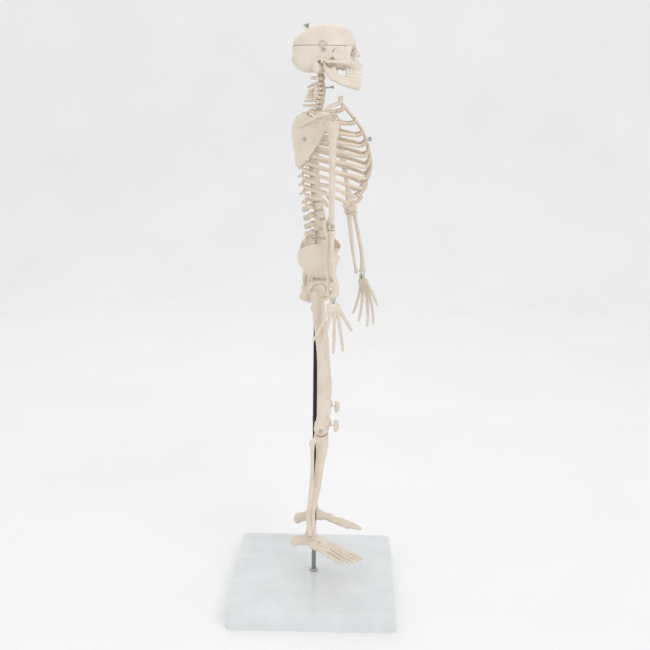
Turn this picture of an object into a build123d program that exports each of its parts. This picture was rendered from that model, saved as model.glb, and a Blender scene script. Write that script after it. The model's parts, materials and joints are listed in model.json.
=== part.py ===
"""Desk-size human skeleton model, a little under half life size, standing on a rod and a flat base.

Units are millimetres. The frame's origin is the centre of the base's underside, +Z is up and the face looks
along -Y. The skeleton's left side is +X. at(x, forward, z) gives a point with forward = -Y, which reads more
easily than minus signs. Each physical piece is written to its own STEP file.
"""

from build123d import *
import math
import os

# Stand
BASE_WIDTH = 260.0
BASE_DEPTH = 240.0
BASE_HEIGHT = 28.0
BASE_WALL = 3.0
BASE_CORNER = 9.0
BASE_EDGE = 4.0
FOOT_INSET = 16.0
ROD_RADIUS = 3.2
ROD_TOP = 497.0
COLLAR_RADIUS = 5.9
COLLAR_HEIGHT = 4.0

# Spine: body centres run down from the atlas, and the guide gives how far forward the column lies at a height
ATLAS_Z = 752.5
CERVICAL_PITCH = 6.2
THORACIC_PITCH = (6.8, 8.9, 12.1)  # to T1, to T2, to T12
LUMBAR_PITCH = (11.8, 13.6)
SPINE_GUIDE = (
    (762, 4.0), (752, 4.0), (737, 7.0), (722, 4.5), (708, 1.0), (690, -1.5), (665, -4.0), (640, -4.5),
    (620, -3.5), (600, -1.5), (580, 2.0), (560, 5.5), (541, 7.0), (528, 6.0), (519, 4.5), (508, 2.0),
)
SPINE_ROD_RADIUS = 1.2
SPINE_BORE_RADIUS = 2.5
RUN = 0.06  # radial play of a pin that something turns on

# Limbs: joint centres as (x, forward, z) on the left side
HIP = (38.0, 4.0, 470.0)
KNEE = (44.0, 10.0, 272.0)
ANKLE = (45.0, -3.0, 110.0)
SHOULDER = (80.0, 21.0, 692.0)
UPPER_ARM = 128.0
FOREARM = 102.0
WRIST_FORWARD = 4.0
FEMUR_HEAD = 10.5
HIP_SOCKET = 11.0
HUMERUS_HEAD = 9.8
TOE_OUT = 17.0
TOE_DOWN = 8.0
ARM_SWING = {"left": 10.0, "right": 0.0}  # how far each arm hangs forward of plumb
ARM_TURN = {"left": 45.0, "right": 8.0}  # how far each arm is turned inwards about its own length

# Skull
SKULL = (0.0, 7.5, 791.0)
SKULL_HALF = (31.5, 42.5, 31.0)
NECK_AXIS = 4.0  # how far forward the head turns
SKULL_WALL = 2.6
CAP_CUT_Z = 795.0
CAP_GAP = 0.2
JAW_AXIS = (25.0, 8.5, 773.5)
BITE_Z = 759.0
STUD = (0.0, -14.0, 817.7)
STUD_LEAN = 24.0
HOOK_PIVOT = (33.0, 8.0, 789.5)
HOOK_STUD = (33.0, 11.6, 797.1)

LINK_RADIUS = 1.2
HIP_SPREAD = 25.0
ARM_LIFT = 60.0
CLEAR = 0.3  # gap between neighbouring pieces that aren't glued


def at(x, forward, z):
    """A point given by how far it lies to the left, to the front and up."""
    return Vector(x, -forward, z)


def mix(a, b, t):
    """The point a share t of the way from a to b."""
    return tuple(p + (q - p) * t for p, q in zip(a, b))


def guide(table, z):
    """Straight-line value of a (z, value) table, highest z first."""
    for (z0, v0), (z1, v1) in zip(table, table[1:]):
        if z >= z1:
            return v0 + (v1 - v0) * (z0 - z) / (z0 - z1)
    return table[-1][1]


def joined(pieces):
    """One solid out of overlapping pieces."""
    first, *rest = pieces
    return Part() + first.fuse(*rest) if rest else Part() + first


def frame_on(a, b):
    """A plane at a whose normal points to b."""
    return Plane(origin=a, z_dir=b - a)


def bar(start, end, r0, r1=None):
    """A straight bar with ball ends: start and end are (x, forward, z), r0 and r1 the two radii."""
    a, b = at(*start), at(*end)
    r1 = r0 if r1 is None else r1
    length = (b - a).length
    tilt = math.asin(max(-0.95, min(0.95, (r0 - r1) / length)))
    c, s = math.cos(tilt), math.sin(tilt)
    mid0, mid1 = (tilt - math.pi / 2) / 2, (tilt + math.pi / 2) / 2
    low, high = (r0 * c, r0 * s), (r1 * c, length + r1 * s)
    outline = [
        ThreePointArc((0, -r0), (r0 * math.cos(mid0), r0 * math.sin(mid0)), low),
        Line(low, high),
        ThreePointArc(high, (r1 * math.cos(mid1), length + r1 * math.sin(mid1)), (0, length + r1)),
        Line((0, length + r1), (0, -r0)),
    ]
    profile = Plane.XZ * make_face(outline)
    return frame_on(a, b) * revolve(profile, Axis.Z)


def shaft(sections, side=(1, 0, 0)):
    """A bone shaft lofted through sections, each ((x, forward, z), half width, half depth)."""
    points = [at(*s[0]) for s in sections]
    faces = []
    for i, (_, half_wide, half_deep) in enumerate(sections):
        along = points[min(i + 1, len(points) - 1)] - points[max(i - 1, 0)]
        plane = Plane(origin=points[i], x_dir=Vector(*side), z_dir=along)
        faces.append(plane * Ellipse(half_wide, half_deep))
    return loft(faces)


def ball(centre, radius):
    return Pos(at(*centre)) * Sphere(radius)


def blob(centre, half):
    """An ellipsoid with half sizes along x, forward and z."""
    return Pos(at(*centre)) * scale(Sphere(1), by=half)


def peg(start, end, radius):
    """A plain cylinder between two points."""
    a, b = at(*start), at(*end)
    return frame_on(a, b) * Cylinder(radius, (b - a).length, align=(Align.CENTER, Align.CENTER, Align.MIN))


def tube(points, half_a, half_b):
    """A bone of one elliptical section swept along a spline through points."""
    path = Spline([at(*p) for p in points])
    section = Plane(origin=path @ 0, x_dir=Vector(0, 0, 1), z_dir=path % 0) * Ellipse(half_a, half_b)
    return sweep(section, path)


def other_side(shape):
    return mirror(shape, about=Plane.YZ)


# ---------------------------------------------------------------- stand


def base_plate():
    """Moulded tray, open underneath, with a centre boss for the rod and four pockets for rubber feet."""
    low = (Align.CENTER, Align.CENTER, Align.MIN)
    body = Box(BASE_WIDTH, BASE_DEPTH, BASE_HEIGHT, align=low)
    body = fillet(body.edges().filter_by(Axis.Z), BASE_CORNER)
    body = fillet(body.faces().sort_by(Axis.Z)[-1].edges(), BASE_EDGE)
    hollow_height = BASE_HEIGHT - BASE_WALL
    hollow = Box(BASE_WIDTH - 2 * BASE_WALL, BASE_DEPTH - 2 * BASE_WALL, hollow_height, align=low)
    hollow = fillet(hollow.edges().filter_by(Axis.Z), BASE_CORNER - BASE_WALL)
    body -= hollow
    boss_low = 5.0
    boss = Pos(0, 0, boss_low) * Cylinder(13, hollow_height - boss_low + 1, align=low)
    webs = [
        Pos(0, 0, 8) * Box(BASE_WIDTH - BASE_WALL, 2.4, hollow_height - 7, align=low),
        Pos(0, 0, 8) * Box(2.4, BASE_DEPTH - BASE_WALL, hollow_height - 7, align=low),
    ]
    posts = [Pos(*p, 3) * Cylinder(8, hollow_height - 2, align=low) for p in foot_places()]
    body = joined([body, boss, *webs, *posts])
    return body - Pos(0, 0, -1) * Cylinder(ROD_RADIUS + CLEAR, BASE_HEIGHT + 2, align=low)


def foot_places():
    x, y = BASE_WIDTH / 2 - FOOT_INSET, BASE_DEPTH / 2 - FOOT_INSET
    return [(x, y), (-x, y), (-x, -y), (x, -y)]


def base_feet():
    """Four rubber feet glued under the corner posts, level with the tray's rim."""
    return [Pos(*p, 0) * Cylinder(7.5, 3,
                                  align=(Align.CENTER, Align.CENTER, Align.MIN)) for p in foot_places()]


def stand_rod():
    rod = Pos(0, 0, 1.5) * Cylinder(ROD_RADIUS, ROD_TOP - 1.5,
                                    align=(Align.CENTER, Align.CENTER, Align.MIN))
    return chamfer(rod.edges(), 0.6)


def rod_lock_nuts():
    """Collar nut on the base's top, washer and hexagon nut underneath."""
    low = (Align.CENTER, Align.CENTER, Align.MIN)
    bore = Pos(0, 0, -1) * Cylinder(ROD_RADIUS + 0.05, BASE_HEIGHT + 20, align=low)
    collar = Pos(0, 0, BASE_HEIGHT) * Cylinder(COLLAR_RADIUS, COLLAR_HEIGHT, align=low)
    collar = chamfer(collar.edges().sort_by(Axis.Z)[-1], 1.2)
    washer = Pos(0, 0, 4) * Cylinder(8, 1, align=low)
    nut = extrude(Plane.XY.offset(1.2) * RegularPolygon(6, 6), 2.8)
    return [collar - bore, washer - bore, nut - bore]


BRACKET_LOW = 474.0
BRACKET_TOP = 500.0
BRACKET_SCREW = (6.3, 494.5)


def pelvis_bracket():
    """Steel sleeve on the rod's top, with a plate behind it that screws to the front of the sacrum."""
    low = (Align.CENTER, Align.CENTER, Align.MIN)
    sleeve = Pos(0, 0, BRACKET_LOW) * Cylinder(5.0, BRACKET_TOP - BRACKET_LOW, align=low)
    plate = Pos(at(0, -5.0, BRACKET_LOW + 8)) * Box(16, 2.6, BRACKET_TOP - BRACKET_LOW - 8, align=low)
    body = joined([sleeve, plate])
    body -= Pos(0, 0, BRACKET_LOW - 4) * Cylinder(ROD_RADIUS + 0.05, ROD_TOP - BRACKET_LOW + 4.3, align=low)
    x, z = BRACKET_SCREW
    for side in (1, -1):
        body -= peg((side * x, -2, z), (side * x, -8, z), 0.95)
    return body


# ---------------------------------------------------------------- spine


def vertebra_levels():
    """Name, body centre (forward, z) and pitch of each vertebra, from C1 down to L5."""
    levels, z = [], ATLAS_Z
    for i in range(24):
        if i == 0:
            pitch = CERVICAL_PITCH
        elif i < 7:
            pitch = CERVICAL_PITCH
            z -= pitch
        elif i == 7:
            pitch = THORACIC_PITCH[0]
            z -= pitch
        elif i < 19:
            pitch = THORACIC_PITCH[1] + (THORACIC_PITCH[2] - THORACIC_PITCH[1]) * (i - 8) / 10
            z -= pitch
        else:
            pitch = LUMBAR_PITCH[0] + (LUMBAR_PITCH[1] - LUMBAR_PITCH[0]) * (i - 19) / 4
            z -= pitch
        levels.append((i, guide(SPINE_GUIDE, z), z, pitch))
    return levels


LEVELS = vertebra_levels()


def tilt_at(z):
    """Lean of the column at a height, in degrees, positive when its top leans forward."""
    rise = 12.0
    return math.degrees(math.atan2(guide(SPINE_GUIDE, z + rise) - guide(SPINE_GUIDE, z - rise), 2 * rise))


def body_half(i):
    """Half width and half depth of the body of vertebra i."""
    if i < 7:
        return 4.6 + 0.25 * i, 3.6 + 0.12 * i
    if i < 19:
        return 6.2 + 0.22 * (i - 7), 5.0 + 0.22 * (i - 7)
    return 9.2 + 0.4 * (i - 19), 7.0 + 0.2 * (i - 19)


def vertebra(i, forward, z, pitch):
    """One vertebra: body, arch round the canal, spinous process and two transverse processes."""
    wide, deep = body_half(i)
    height = pitch * (0.62 if i < 7 else 0.76)
    low = -height / 2
    canal = 3.3 if i < 19 else 3.9
    arch_y = deep + canal * 0.75
    up = (Align.CENTER, Align.CENTER, Align.MIN)
    body = Pos(0, 0, low) * extrude(Ellipse(wide, deep), height)
    ring = Pos(0, arch_y, low * 0.55) * Cylinder(canal + 1.9, height * 0.62, align=up)
    if i < 7:
        spine_end, spine_r, reach = (0, -deep - 14.0 - 0.7 * i, -3.2), (1.6, 1.2), 8.0
        side_end = (reach + 0.35 * i, -deep * 0.6, -0.6)
    elif i < 19:
        spine_end, spine_r = (0, -deep - 14.5, -9.0 + 0.12 * (i - 7) ** 1.4), (1.9, 1.4)
        side_end = (14.0 - 0.3 * (i - 7), -deep - 5.0, 1.2)
    else:
        spine_end, spine_r = (0, -deep - 14.0, -1.2), (2.2, 2.4)
        side_end = (19.0 - 0.7 * abs(i - 21), -deep - 2.0, 1.0)
    pieces = [body, ring, bar((0, -arch_y - canal, 0), spine_end, *spine_r)]
    if i >= 19:
        pieces.append(bar((0, -arch_y - canal, -2.6), (0, spine_end[1], -3.6), *spine_r))
    for side in (1, -1):
        pieces.append(bar((side * canal, -arch_y, 0), (side * side_end[0], side_end[1], side_end[2]), 2.2,
                          1.6))
    solid = joined(pieces)
    solid -= Pos(0, arch_y, -20) * Cylinder(canal, 40, align=up)
    solid -= Pos(0, 0, -20) * Cylinder(SPINE_BORE_RADIUS, 40, align=up)
    return Pos(at(0, forward, z)) * Rot(X=tilt_at(z)) * solid


def atlas():
    """C1: a ring with side masses and wide transverse processes, and no body."""
    _, forward, z, _ = LEVELS[0]
    up = (Align.CENTER, Align.CENTER, Align.CENTER)
    ring = Pos(0, 4.0, 0) * Cylinder(9.4, 3.4, align=up)
    masses = [Pos(side * 7.0, 0.5, 0) * Cylinder(4.2, 4.2, align=up) for side in (1, -1)]
    wings = [bar((side * 8.0, -3.0, 0), (side * 17.0, -4.5, -0.4), 2.0, 1.6) for side in (1, -1)]
    solid = joined([ring, *masses, *wings])
    solid -= Pos(0, 4.4, 0) * Cylinder(6.2, 20, align=up)
    return Pos(at(0, forward, z + 0.6)) * solid


def cervical_vertebrae():
    bones = [atlas()] + [vertebra(*LEVELS[i]) for i in range(1, 7)]
    z = LEVELS[2][2]
    bones[2] = bones[2] - peg((0, 8.0, z - 0.2), (0, 14.0, z + 0.5), 1.05)
    return bones


def thoracic_vertebrae():
    return [vertebra(*LEVELS[i]) for i in range(7, 19)]


def lumbar_vertebrae():
    return [vertebra(*LEVELS[i]) for i in range(19, 24)]


def cartilage_discs():
    """A disc between each pair of bodies from C2 down to the sacrum, and the pad between the pubic bones."""
    discs = []
    for i in range(1, 24):
        _, _, z, pitch = LEVELS[i]
        below = LEVELS[i + 1] if i < 23 else (23, guide(SPINE_GUIDE, z - pitch), z - pitch, pitch)
        share, share_below = (0.62 if i < 7 else 0.76), (0.62 if below[0] < 7 else 0.76)
        top = z - pitch * share / 2
        bottom = below[2] + below[3] * share_below / 2
        middle, thick = (top + bottom) / 2, (top - bottom) * 0.6
        if i == 23:
            middle, thick = SACRUM_TOP + 2.8, 2.4
        wide, deep = body_half(i)
        disc = Pos(0, 0, -thick / 2) * extrude(Ellipse(wide * 0.97, deep * 0.97), thick)
        disc -= Cylinder(SPINE_BORE_RADIUS, 40)
        discs.append(Pos(at(0, guide(SPINE_GUIDE, middle), middle)) * Rot(X=tilt_at(middle)) * disc)
    pad = Plane.YZ.offset(-1.3) * Pos(-PUBIS[1], PUBIS[2]) * Ellipse(3.2, 6.6)
    return discs + [extrude(pad, 2.6)]


def spine_rod():
    """The bent steel wire that threads the whole column from the sacrum up into the skull."""
    heights = (766, 759, 752, 745, 737, 722, 706, 690, 665, 640, 615, 590, 565, 541, 522, 509)
    path = Spline([at(0, guide(SPINE_GUIDE, z), z) for z in heights])
    return sweep(Plane(origin=path @ 0, z_dir=path % 0) * Circle(SPINE_ROD_RADIUS), path)


SACRUM_TOP = 519.0


def sacrum():
    """Sacrum and tail bone in one moulding, with its front hollow and the rod's bore."""
    sections = [
        ((0, 5.5, 524.0), 19.5, 7.5), ((0, 0.5, 511.0), 21.6, 7.0), ((0, -7.0, 501.0), 19.0, 5.5),
        ((0, -12.5, 491.0), 14.5, 4.6), ((0, -16.0, 481.0), 10.0, 3.6), ((0, -16.5, 472.0), 5.5, 2.6),
        ((0, -14.5, 465.0), 2.6, 1.8),
    ]
    solid = shaft(sections)
    low = (Align.CENTER, Align.CENTER, Align.MIN)
    solid -= Pos(at(0, 5.0, SACRUM_TOP)) * Rot(X=13) * Box(90, 90, 30, align=low)
    solid -= peg((0, 6.0, 528), (0, 1.7, 506.5), SPINE_BORE_RADIUS + 0.6)
    seat_low, seat_back = BRACKET_LOW - 3, -7.7
    seat = Box(16.4, 30, BRACKET_TOP + 0.5 - seat_low, align=(Align.CENTER, Align.MAX, Align.MIN))
    solid -= Pos(at(0, seat_back, seat_low)) * seat
    for side in (1, -1):
        x, z = BRACKET_SCREW
        solid -= peg((side * x, 0, z), (side * x, -13.2, z), 0.95)
        for hole_x, forward, hole_z in ((9.5, 2, 508), (8.2, -5, 498), (6.6, -10, 488), (4.8, -14, 479)):
            solid -= peg((side * hole_x, forward + 14, hole_z + 5),
                         (side * hole_x, forward - 16, hole_z - 5), 1.3)
    return solid.solids().sort_by(SortBy.VOLUME)[-1]


# ---------------------------------------------------------------- rib cage

# Per rib: half width, forward and x of the bony front end, and how far that end drops below the vertebra
RIBS = (
    (22, 24, 17, -1), (34, 41, 25, 6), (43, 51, 29, 12), (50, 58, 32, 16), (55, 63, 34, 20),
    (59, 66, 37, 24),
    (61, 66, 40, 28), (62, 61, 45, 30), (61, 54, 49, 30), (58, 45, 52, 28), (52, 16, 50, 20),
    (38, -4, 36, 11),
)
STERNUM = ((29, 726), (38, 714), (50, 700), (59.5, 687), (66, 674), (69.5, 662), (71, 653), (71.5, 644))


def rib_path(n):
    """Points along rib n (0 is the first) from beside its vertebra to its bony front end."""
    wide, end_forward, end_x, drop = RIBS[n]
    i, forward, z, _ = LEVELS[7 + n]
    back = forward - body_half(i)[1]
    start = (17.2 - 0.3 * n, back - 5.4, z + 1.1)
    if n == 11:
        return [start, (23, back - 6, z - 2.5), (30, back - 7, z - 6), (end_x, end_forward, z - drop)]
    side_forward = min(18, end_forward * 0.35 + 4)
    points = [start] if wide < 30 else [start, (wide * 0.6, back - 7.5, z - 0.14 * drop - 1)]
    return points + [
        (wide * 0.93, (back + side_forward) / 2 - 1, z - 0.36 * drop - 1.5),
        (wide, side_forward, z - 0.55 * drop),
        (wide * 0.92, side_forward + (end_forward - side_forward) * 0.55, z - 0.78 * drop),
        (end_x, end_forward, z - drop),
    ]


def ribs():
    """The twelve left ribs as separate bones."""
    bones = []
    for n in range(12):
        tall, thick = (1.5, 2.4) if n == 0 else (2.6 - 0.06 * n, 1.35)
        bones.append(tube(rib_path(n), tall, thick))
    return bones


def sternum():
    """Breastbone: handle, blade and tip as one curved plate, with the screw's hole."""
    half_widths = (11.0, 10.0, 6.0, 6.6, 7.2, 7.6, 5.6, 2.4)
    sections = [((0, f, z), w, 2.2 if w > 3 else 1.4) for (f, z), w in zip(STERNUM, half_widths)]
    plate = shaft(sections)
    hole = peg((0, SCREW[1] - 12, SCREW[2] - 3), (0, SCREW[1] + 12, SCREW[2] + 3), 1.6)
    return plate - hole


SCREW = (0.0, 67.2, 671.5)


def sternum_screw():
    """Knurled thumb screw that holds the breastbone."""
    lean = (0, math.cos(0.25), math.sin(0.25))

    def along(d):
        return (0, SCREW[1] + d * lean[1], SCREW[2] + d * lean[2])

    stem = peg(along(-6), along(4), 1.3)
    head = peg(along(2.7), along(7.2), 3.1)
    grooves = []
    a, b = at(*along(2.6)), at(*along(7.3))
    plane = frame_on(a, b)
    for k in range(12):
        turn = 2 * math.pi * k / 12
        spot = plane * Pos(3.3 * math.cos(turn), 3.3 * math.sin(turn), 0)
        grooves.append(spot * Cylinder(0.45, 6, align=(Align.CENTER, Align.CENTER, Align.MIN)))
    return joined([stem, head]) - grooves


def costal_cartilages():
    """Left costal cartilages: seven reach the breastbone and three end under the one above."""
    sternal = ((15.2, 33.5, 719), (10.9, 50, 701), (11.1, 59, 688), (11.5, 64.5, 677), (11.9, 68.5, 666.5),
               (11.9, 70.5, 659), (11.7, 72, 652))
    joins = (((30.0, 69.0, 621.5), (23.5, 72.0, 630.0)), ((39.0, 64.5, 608.0), (32.0, 68.0, 615.5)),
             ((49.5, 53.0, 591.0), (42.0, 61.5, 599.0)))
    strips = []
    for n in range(10):
        end = rib_path(n)[-1]
        if n < 7:
            goal = sternal[n]
            middle = mix(end, goal, 0.55)
            middle = (middle[0], max(end[1], goal[1]) + 1.0, middle[2] - 1.0 - 0.6 * n)
        else:
            middle, goal = joins[n - 7]
        start = mix(end, middle, 1.7 / math.dist(end, middle))
        strips.append(tube([start, middle, goal], 2.2, 1.7))
    return strips


# ---------------------------------------------------------------- shoulder girdle


def clavicle():
    points = [
        ((14.6, 30.5, 727.0), 3.4, 3.6), ((21, 32, 726), 2.6, 2.6), ((32, 31, 722.5), 2.4, 2.3),
        ((48, 24, 718.5), 2.4, 2.0), ((60, 16, 715), 2.4, 1.8), ((70, 12.5, 712), 3.0, 1.8),
    ]
    return shaft(points, side=(0, 0, 1))


SCAPULA_TOP = (34.0, -23.0, 706.0)
SCAPULA_TIP = (41.0, -27.0, 637.0)
GLENOID = (67.5, 15.0, 691.0)


def blade_plane():
    """The shoulder blade's plane: x towards the joint, y towards the lower tip, z out of its back."""
    a, b, c = at(*SCAPULA_TOP), at(*SCAPULA_TIP), at(*GLENOID)
    return Plane(origin=a, x_dir=c - a, z_dir=(c - a).cross(b - a))


def scapula():
    """Shoulder blade: thin plate, spine ending in the acromion, coracoid hook and the joint's dish."""
    plane = blade_plane()
    tip, dish = plane.to_local_coords(at(*SCAPULA_TIP)), plane.to_local_coords(at(*GLENOID))
    outline = Spline(
        [(0, 0), (9, -3.0), (24, -1.0), (dish.X - 6, -5.0), (dish.X - 3, 5.0), (tip.X + 21, tip.Y - 30),
         (tip.X + 8, tip.Y - 5), (tip.X, tip.Y), (tip.X - 6, tip.Y - 9), (-4, 26)],
        periodic=True,
    )
    blade = extrude(plane * make_face(outline), 1.1, both=True)
    pieces = [
        blade, bar((37, -23.5, 690), (52, -12.5, 696), 1.5, 2.0),
        bar((52, -12.5, 696), (68, 0, 704), 2.0, 2.6),
        bar((68, 0, 704), (80, 9.5, 708), 2.6, 3.0), bar((80, 9.5, 708), (79, 16, 707.5), 3.0, 2.4),
        bar((50, -11, 690.0), (62, 0, 696.0), 1.6, 1.8), bar((60, 9, 698), (64, 17, 703), 2.8, 2.4),
        bar((64, 17, 703), (68.5, 26, 700.5), 2.4, 2.0), bar((58, 5, 691.5), (64.5, 14, 691.5), 3.4, 5.2),
        bar((64.5, 14, 691.5), (67.0, 18.5, 691.8), 5.2, 5.6), bar((61, 4.5, 693), (60, 9, 698), 3.2, 2.6),
    ]
    solid = joined(pieces) - ball(SHOULDER, HUMERUS_HEAD + 1.2)
    x, forward, z = SHOULDER
    solid -= peg((x - 30, forward, z), (x, forward, z), LINK_RADIUS + RUN)
    solid -= blade_screw(0.95, 0.95)
    return solid.solids().sort_by(SortBy.VOLUME)[-1]


def blade_screw(stem, head):
    """A screw through the left shoulder blade, from behind."""
    spot = blade_plane() * Pos(22, 27, 0)
    middle = (Align.CENTER, Align.CENTER, Align.CENTER)
    towards_back = 1 if (blade_plane().z_dir.Y > 0) else -1
    shank = spot * Pos(0, 0, -towards_back * 0.8) * Cylinder(stem, 6.0, align=middle)
    cap = spot * Pos(0, 0, towards_back * 2.1) * Cylinder(head, 1.6, align=middle)
    return joined([shank, cap])


def trunk_screws():
    """Fixed fasteners of the trunk: blade screws, bracket screws, neck screw and the nut on the spine rod."""
    screws = []
    for side in (1, -1):
        screw = blade_screw(0.9, 2.3)
        screws.append(screw if side == 1 else other_side(screw))
        x, z = BRACKET_SCREW
        shank, head = peg((side * x, -3.0, z), (side * x, -13, z), 0.9), peg((side * x, -2.0, z),
                                                                             (side * x, -3.6, z), 1.5)
        screws.append(joined([shank, head]))
    z = LEVELS[2][2]
    screws.append(joined([peg((0, 9.3, z), (0, 20.0, z + 1.2), 1.0),
                          peg((0, 18.6, z + 1.0), (0, 21.6, z + 1.4), 1.9)]))
    nut = Pos(at(0, NECK_AXIS, 764.1)) * extrude(RegularPolygon(3.1, 6), 2.2)
    screws.append(nut - Pos(at(0, NECK_AXIS, 760)) * Cylinder(SPINE_ROD_RADIUS + 0.5, 20))
    return screws


# ---------------------------------------------------------------- pelvis

PUBIS = (5.5, 29.0, 463.0)


def hip_bone():
    """Left hip bone: flared blade cut from a bowl, socket, seat bone and the two bars to the pubis."""
    outline = Spline([(-33, 519), (-20, 530), (0, 535.5), (16, 530), (25, 517), (22, 504), (12, 493),
                      (6, 478), (-10, 477),
                      (-20, 486), (-27, 497), (-30, 508)], periodic=True)
    slab = extrude(Plane.YZ.offset(22.6) * make_face(outline), 55)
    bowl = Pos(at(*BOWL[:3])) * Sphere(BOWL[3]) - Pos(at(*BOWL[:3])) * Sphere(BOWL[3] - 3.0)
    blade = (slab & bowl).solids().sort_by(SortBy.VOLUME)[-1]
    socket = ball(HIP, HIP_SOCKET + 3.4)
    seat = [
        bar((34, -5, 473), (30, -16, 458), 6.6, 6.4), bar((30, -16, 458), (26, -9, 452), 6.0, 4.0),
        bar((26, -9, 452), (15, 10, 450), 3.6, 2.8), bar((15, 10, 450), (7.5, 24, 456.5), 2.8, 3.2),
    ]
    front = [bar((30, 12, 477), (16, 24, 471), 4.2, 3.6),
             bar((16, 24, 471), (PUBIS[0], PUBIS[1], 465.5), 3.6, 3.9),
             bar((7.5, 24, 456.5), (PUBIS[0], PUBIS[1], 465.5), 3.2, 3.9)]
    upper = [bar((30, -4, 486), (24, -18, 503), 5.0, 3.4), bar((33, 6, 484), (46, 28, 512), 5.2, 2.6)]
    solid = joined([blade, socket, *seat, *front, *upper])
    facing = Plane(origin=at(HIP[0] + 3.0, HIP[1] + 1.5, HIP[2] - 1.5), z_dir=at(1.0, 0.35, -0.45))
    mouth = facing * Box(60, 60, 40, align=(Align.CENTER, Align.CENTER, Align.MIN))
    solid -= mouth & ball(HIP, HIP_SOCKET + 8)
    solid -= ball(HIP, HIP_SOCKET)
    solid -= Box(3.4, 400, 60).move(Location(at(0, 29, 463)))
    x, forward, z = HIP
    solid -= peg((x - 30, forward, z), (x, forward, z), LINK_RADIUS + RUN)
    return solid.solids().sort_by(SortBy.VOLUME)[-1]


def bowl_through(points):
    """Centre and radius of the sphere through four (x, forward, z) points."""
    base = points[0]
    rows = []
    for p in points[1:]:
        slopes = [2 * (p[k] - base[k]) for k in range(3)]
        rows.append(slopes + [sum(p[k] ** 2 - base[k] ** 2 for k in range(3))])
    for i in range(3):
        pivot = max(range(i, 3), key=lambda r: abs(rows[r][i]))
        rows[i], rows[pivot] = rows[pivot], rows[i]
        for r in range(3):
            if r != i:
                share = rows[r][i] / rows[i][i]
                rows[r] = [a - share * b for a, b in zip(rows[r], rows[i])]
    centre = [rows[i][3] / rows[i][i] for i in range(3)]
    return (*centre, math.dist(centre, base))


BOWL = bowl_through([(41.0, 3.0, 486.0), (62.0, 8.0, 534.0), (55.0, 32.0, 519.0), (26.0, -25.0, 514.0)])


def cross_link(centre, reach, half_pin, head):
    """A steel bolt along x that turns in the trunk, with a cross pin in the ball that the limb lifts on."""
    x, forward, z = centre
    pieces = [
        peg((x - reach, forward, z), (x, forward, z), LINK_RADIUS),
        peg((x, forward - half_pin, z), (x, forward + half_pin, z), LINK_RADIUS + 0.4),
    ]
    if head:
        pieces.append(peg((x - reach - 1.6, forward, z), (x - reach + 0.8, forward, z), head))
    return joined(pieces)


def slot(centre, reach, lift):
    """The slot in a ball that lets the bolt swing up through an angle, with the cross pin's bore."""
    half = LINK_RADIUS + 0.2
    x, _, z = centre
    turns = [math.radians(lift * k / 3) for k in range(4)]
    rim = [(-reach * 1.3 * math.cos(t), reach * 1.3 * math.sin(t)) for t in turns]
    last = turns[-1]
    corner = (half * math.sin(last), half * math.cos(last))
    outline = [(0, -half), (-reach * 1.3, -half), *rim, (rim[-1][0] + corner[0], rim[-1][1] + corner[1]),
               corner]
    face = make_face(Polyline([(x + u, z + v) for u, v in outline], close=True))
    wedge = extrude(Plane.XZ.offset(centre[1]) * face, half, both=True)
    pin = peg((x, centre[1] - 20, z), (x, centre[1] + 20, z), LINK_RADIUS + 0.4 + RUN)
    return wedge + pin


def hip_link():
    return cross_link(HIP, 16.2, 9.7, 2.6)


# ---------------------------------------------------------------- leg


def femur():
    x, forward, z = HIP
    knee_x, knee_forward, knee_z = KNEE
    head = ball(HIP, FEMUR_HEAD)
    neck = bar((x + 4, forward - 0.3, z - 2.5), (x + 17, forward - 3, z - 11), 5.2, 6.4)
    trochanter = [bar((x + 19.5, forward - 4.5, z - 4.5), (x + 19.5, forward - 2, z - 16), 5.6, 6.0),
                  bar((x + 13.5, forward - 7, z - 24), (x + 15, forward - 4, z - 22), 3.2)]
    body = shaft([
        ((x + 17.5, forward - 2, z - 10), 6.2, 6.2), ((x + 16.5, forward, z - 32), 5.4, 5.4),
        ((x + 13.0, forward + 5, z - 85), 4.7, 4.9), ((x + 9.5, forward + 6, z - 130), 4.9, 5.0),
        ((knee_x + 1.0, knee_forward + 0.5, knee_z + 30), 7.2, 5.6),
        ((knee_x, knee_forward + 0.5, knee_z + 14), 12.5, 6.6),
        ((knee_x, knee_forward, knee_z + 4), 14.5, 8.0),
    ])
    condyles = [
        bar((knee_x - 9.2, knee_forward, knee_z), (knee_x - 6.6, knee_forward, knee_z), 9.6),
        bar((knee_x + 6.6, knee_forward, knee_z), (knee_x + 9.2, knee_forward, knee_z), 9.6),
        bar((knee_x - 5.0, knee_forward + 4.4, knee_z + 2.6),
            (knee_x + 5.0, knee_forward + 4.4, knee_z + 2.6), 6.0),
    ]
    solid = joined([head, neck, *trochanter, body, *condyles])
    notch = Box(4.8, 30, 30, align=(Align.CENTER, Align.MIN, Align.MAX))
    solid -= Pos(at(knee_x, knee_forward + 5.6, knee_z + 5.6)) * notch
    solid -= peg((knee_x - 30, knee_forward, knee_z), (knee_x + 30, knee_forward, knee_z), KNEE_PIN + RUN)
    return solid - slot(HIP, FEMUR_HEAD + 2, HIP_SPREAD)


def patella():
    x, forward, z = KNEE
    cap = blob((x, forward + 20.5, z + 2.0), (8.2, 4.2, 8.0))
    cap -= Box(30, 30, 30).move(Location(at(x, forward + 20.5 - 16.2, z)))
    return cap - peg((x, forward, z + 2.6), (x, forward + 22, z + 2.6), 0.8)


KNEE_PIN = 1.3


def knee_pin():
    """Steel pin through the knee, with a flat head on each end."""
    x, forward, z = KNEE
    return joined([
        peg((x - 20.5, forward, z), (x + 20.5, forward, z), KNEE_PIN),
        peg((x + 19.5, forward, z), (x + 21.5, forward, z), 2.8),
        peg((x - 21.5, forward, z), (x - 19.5, forward, z), 2.8),
    ])


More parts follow.
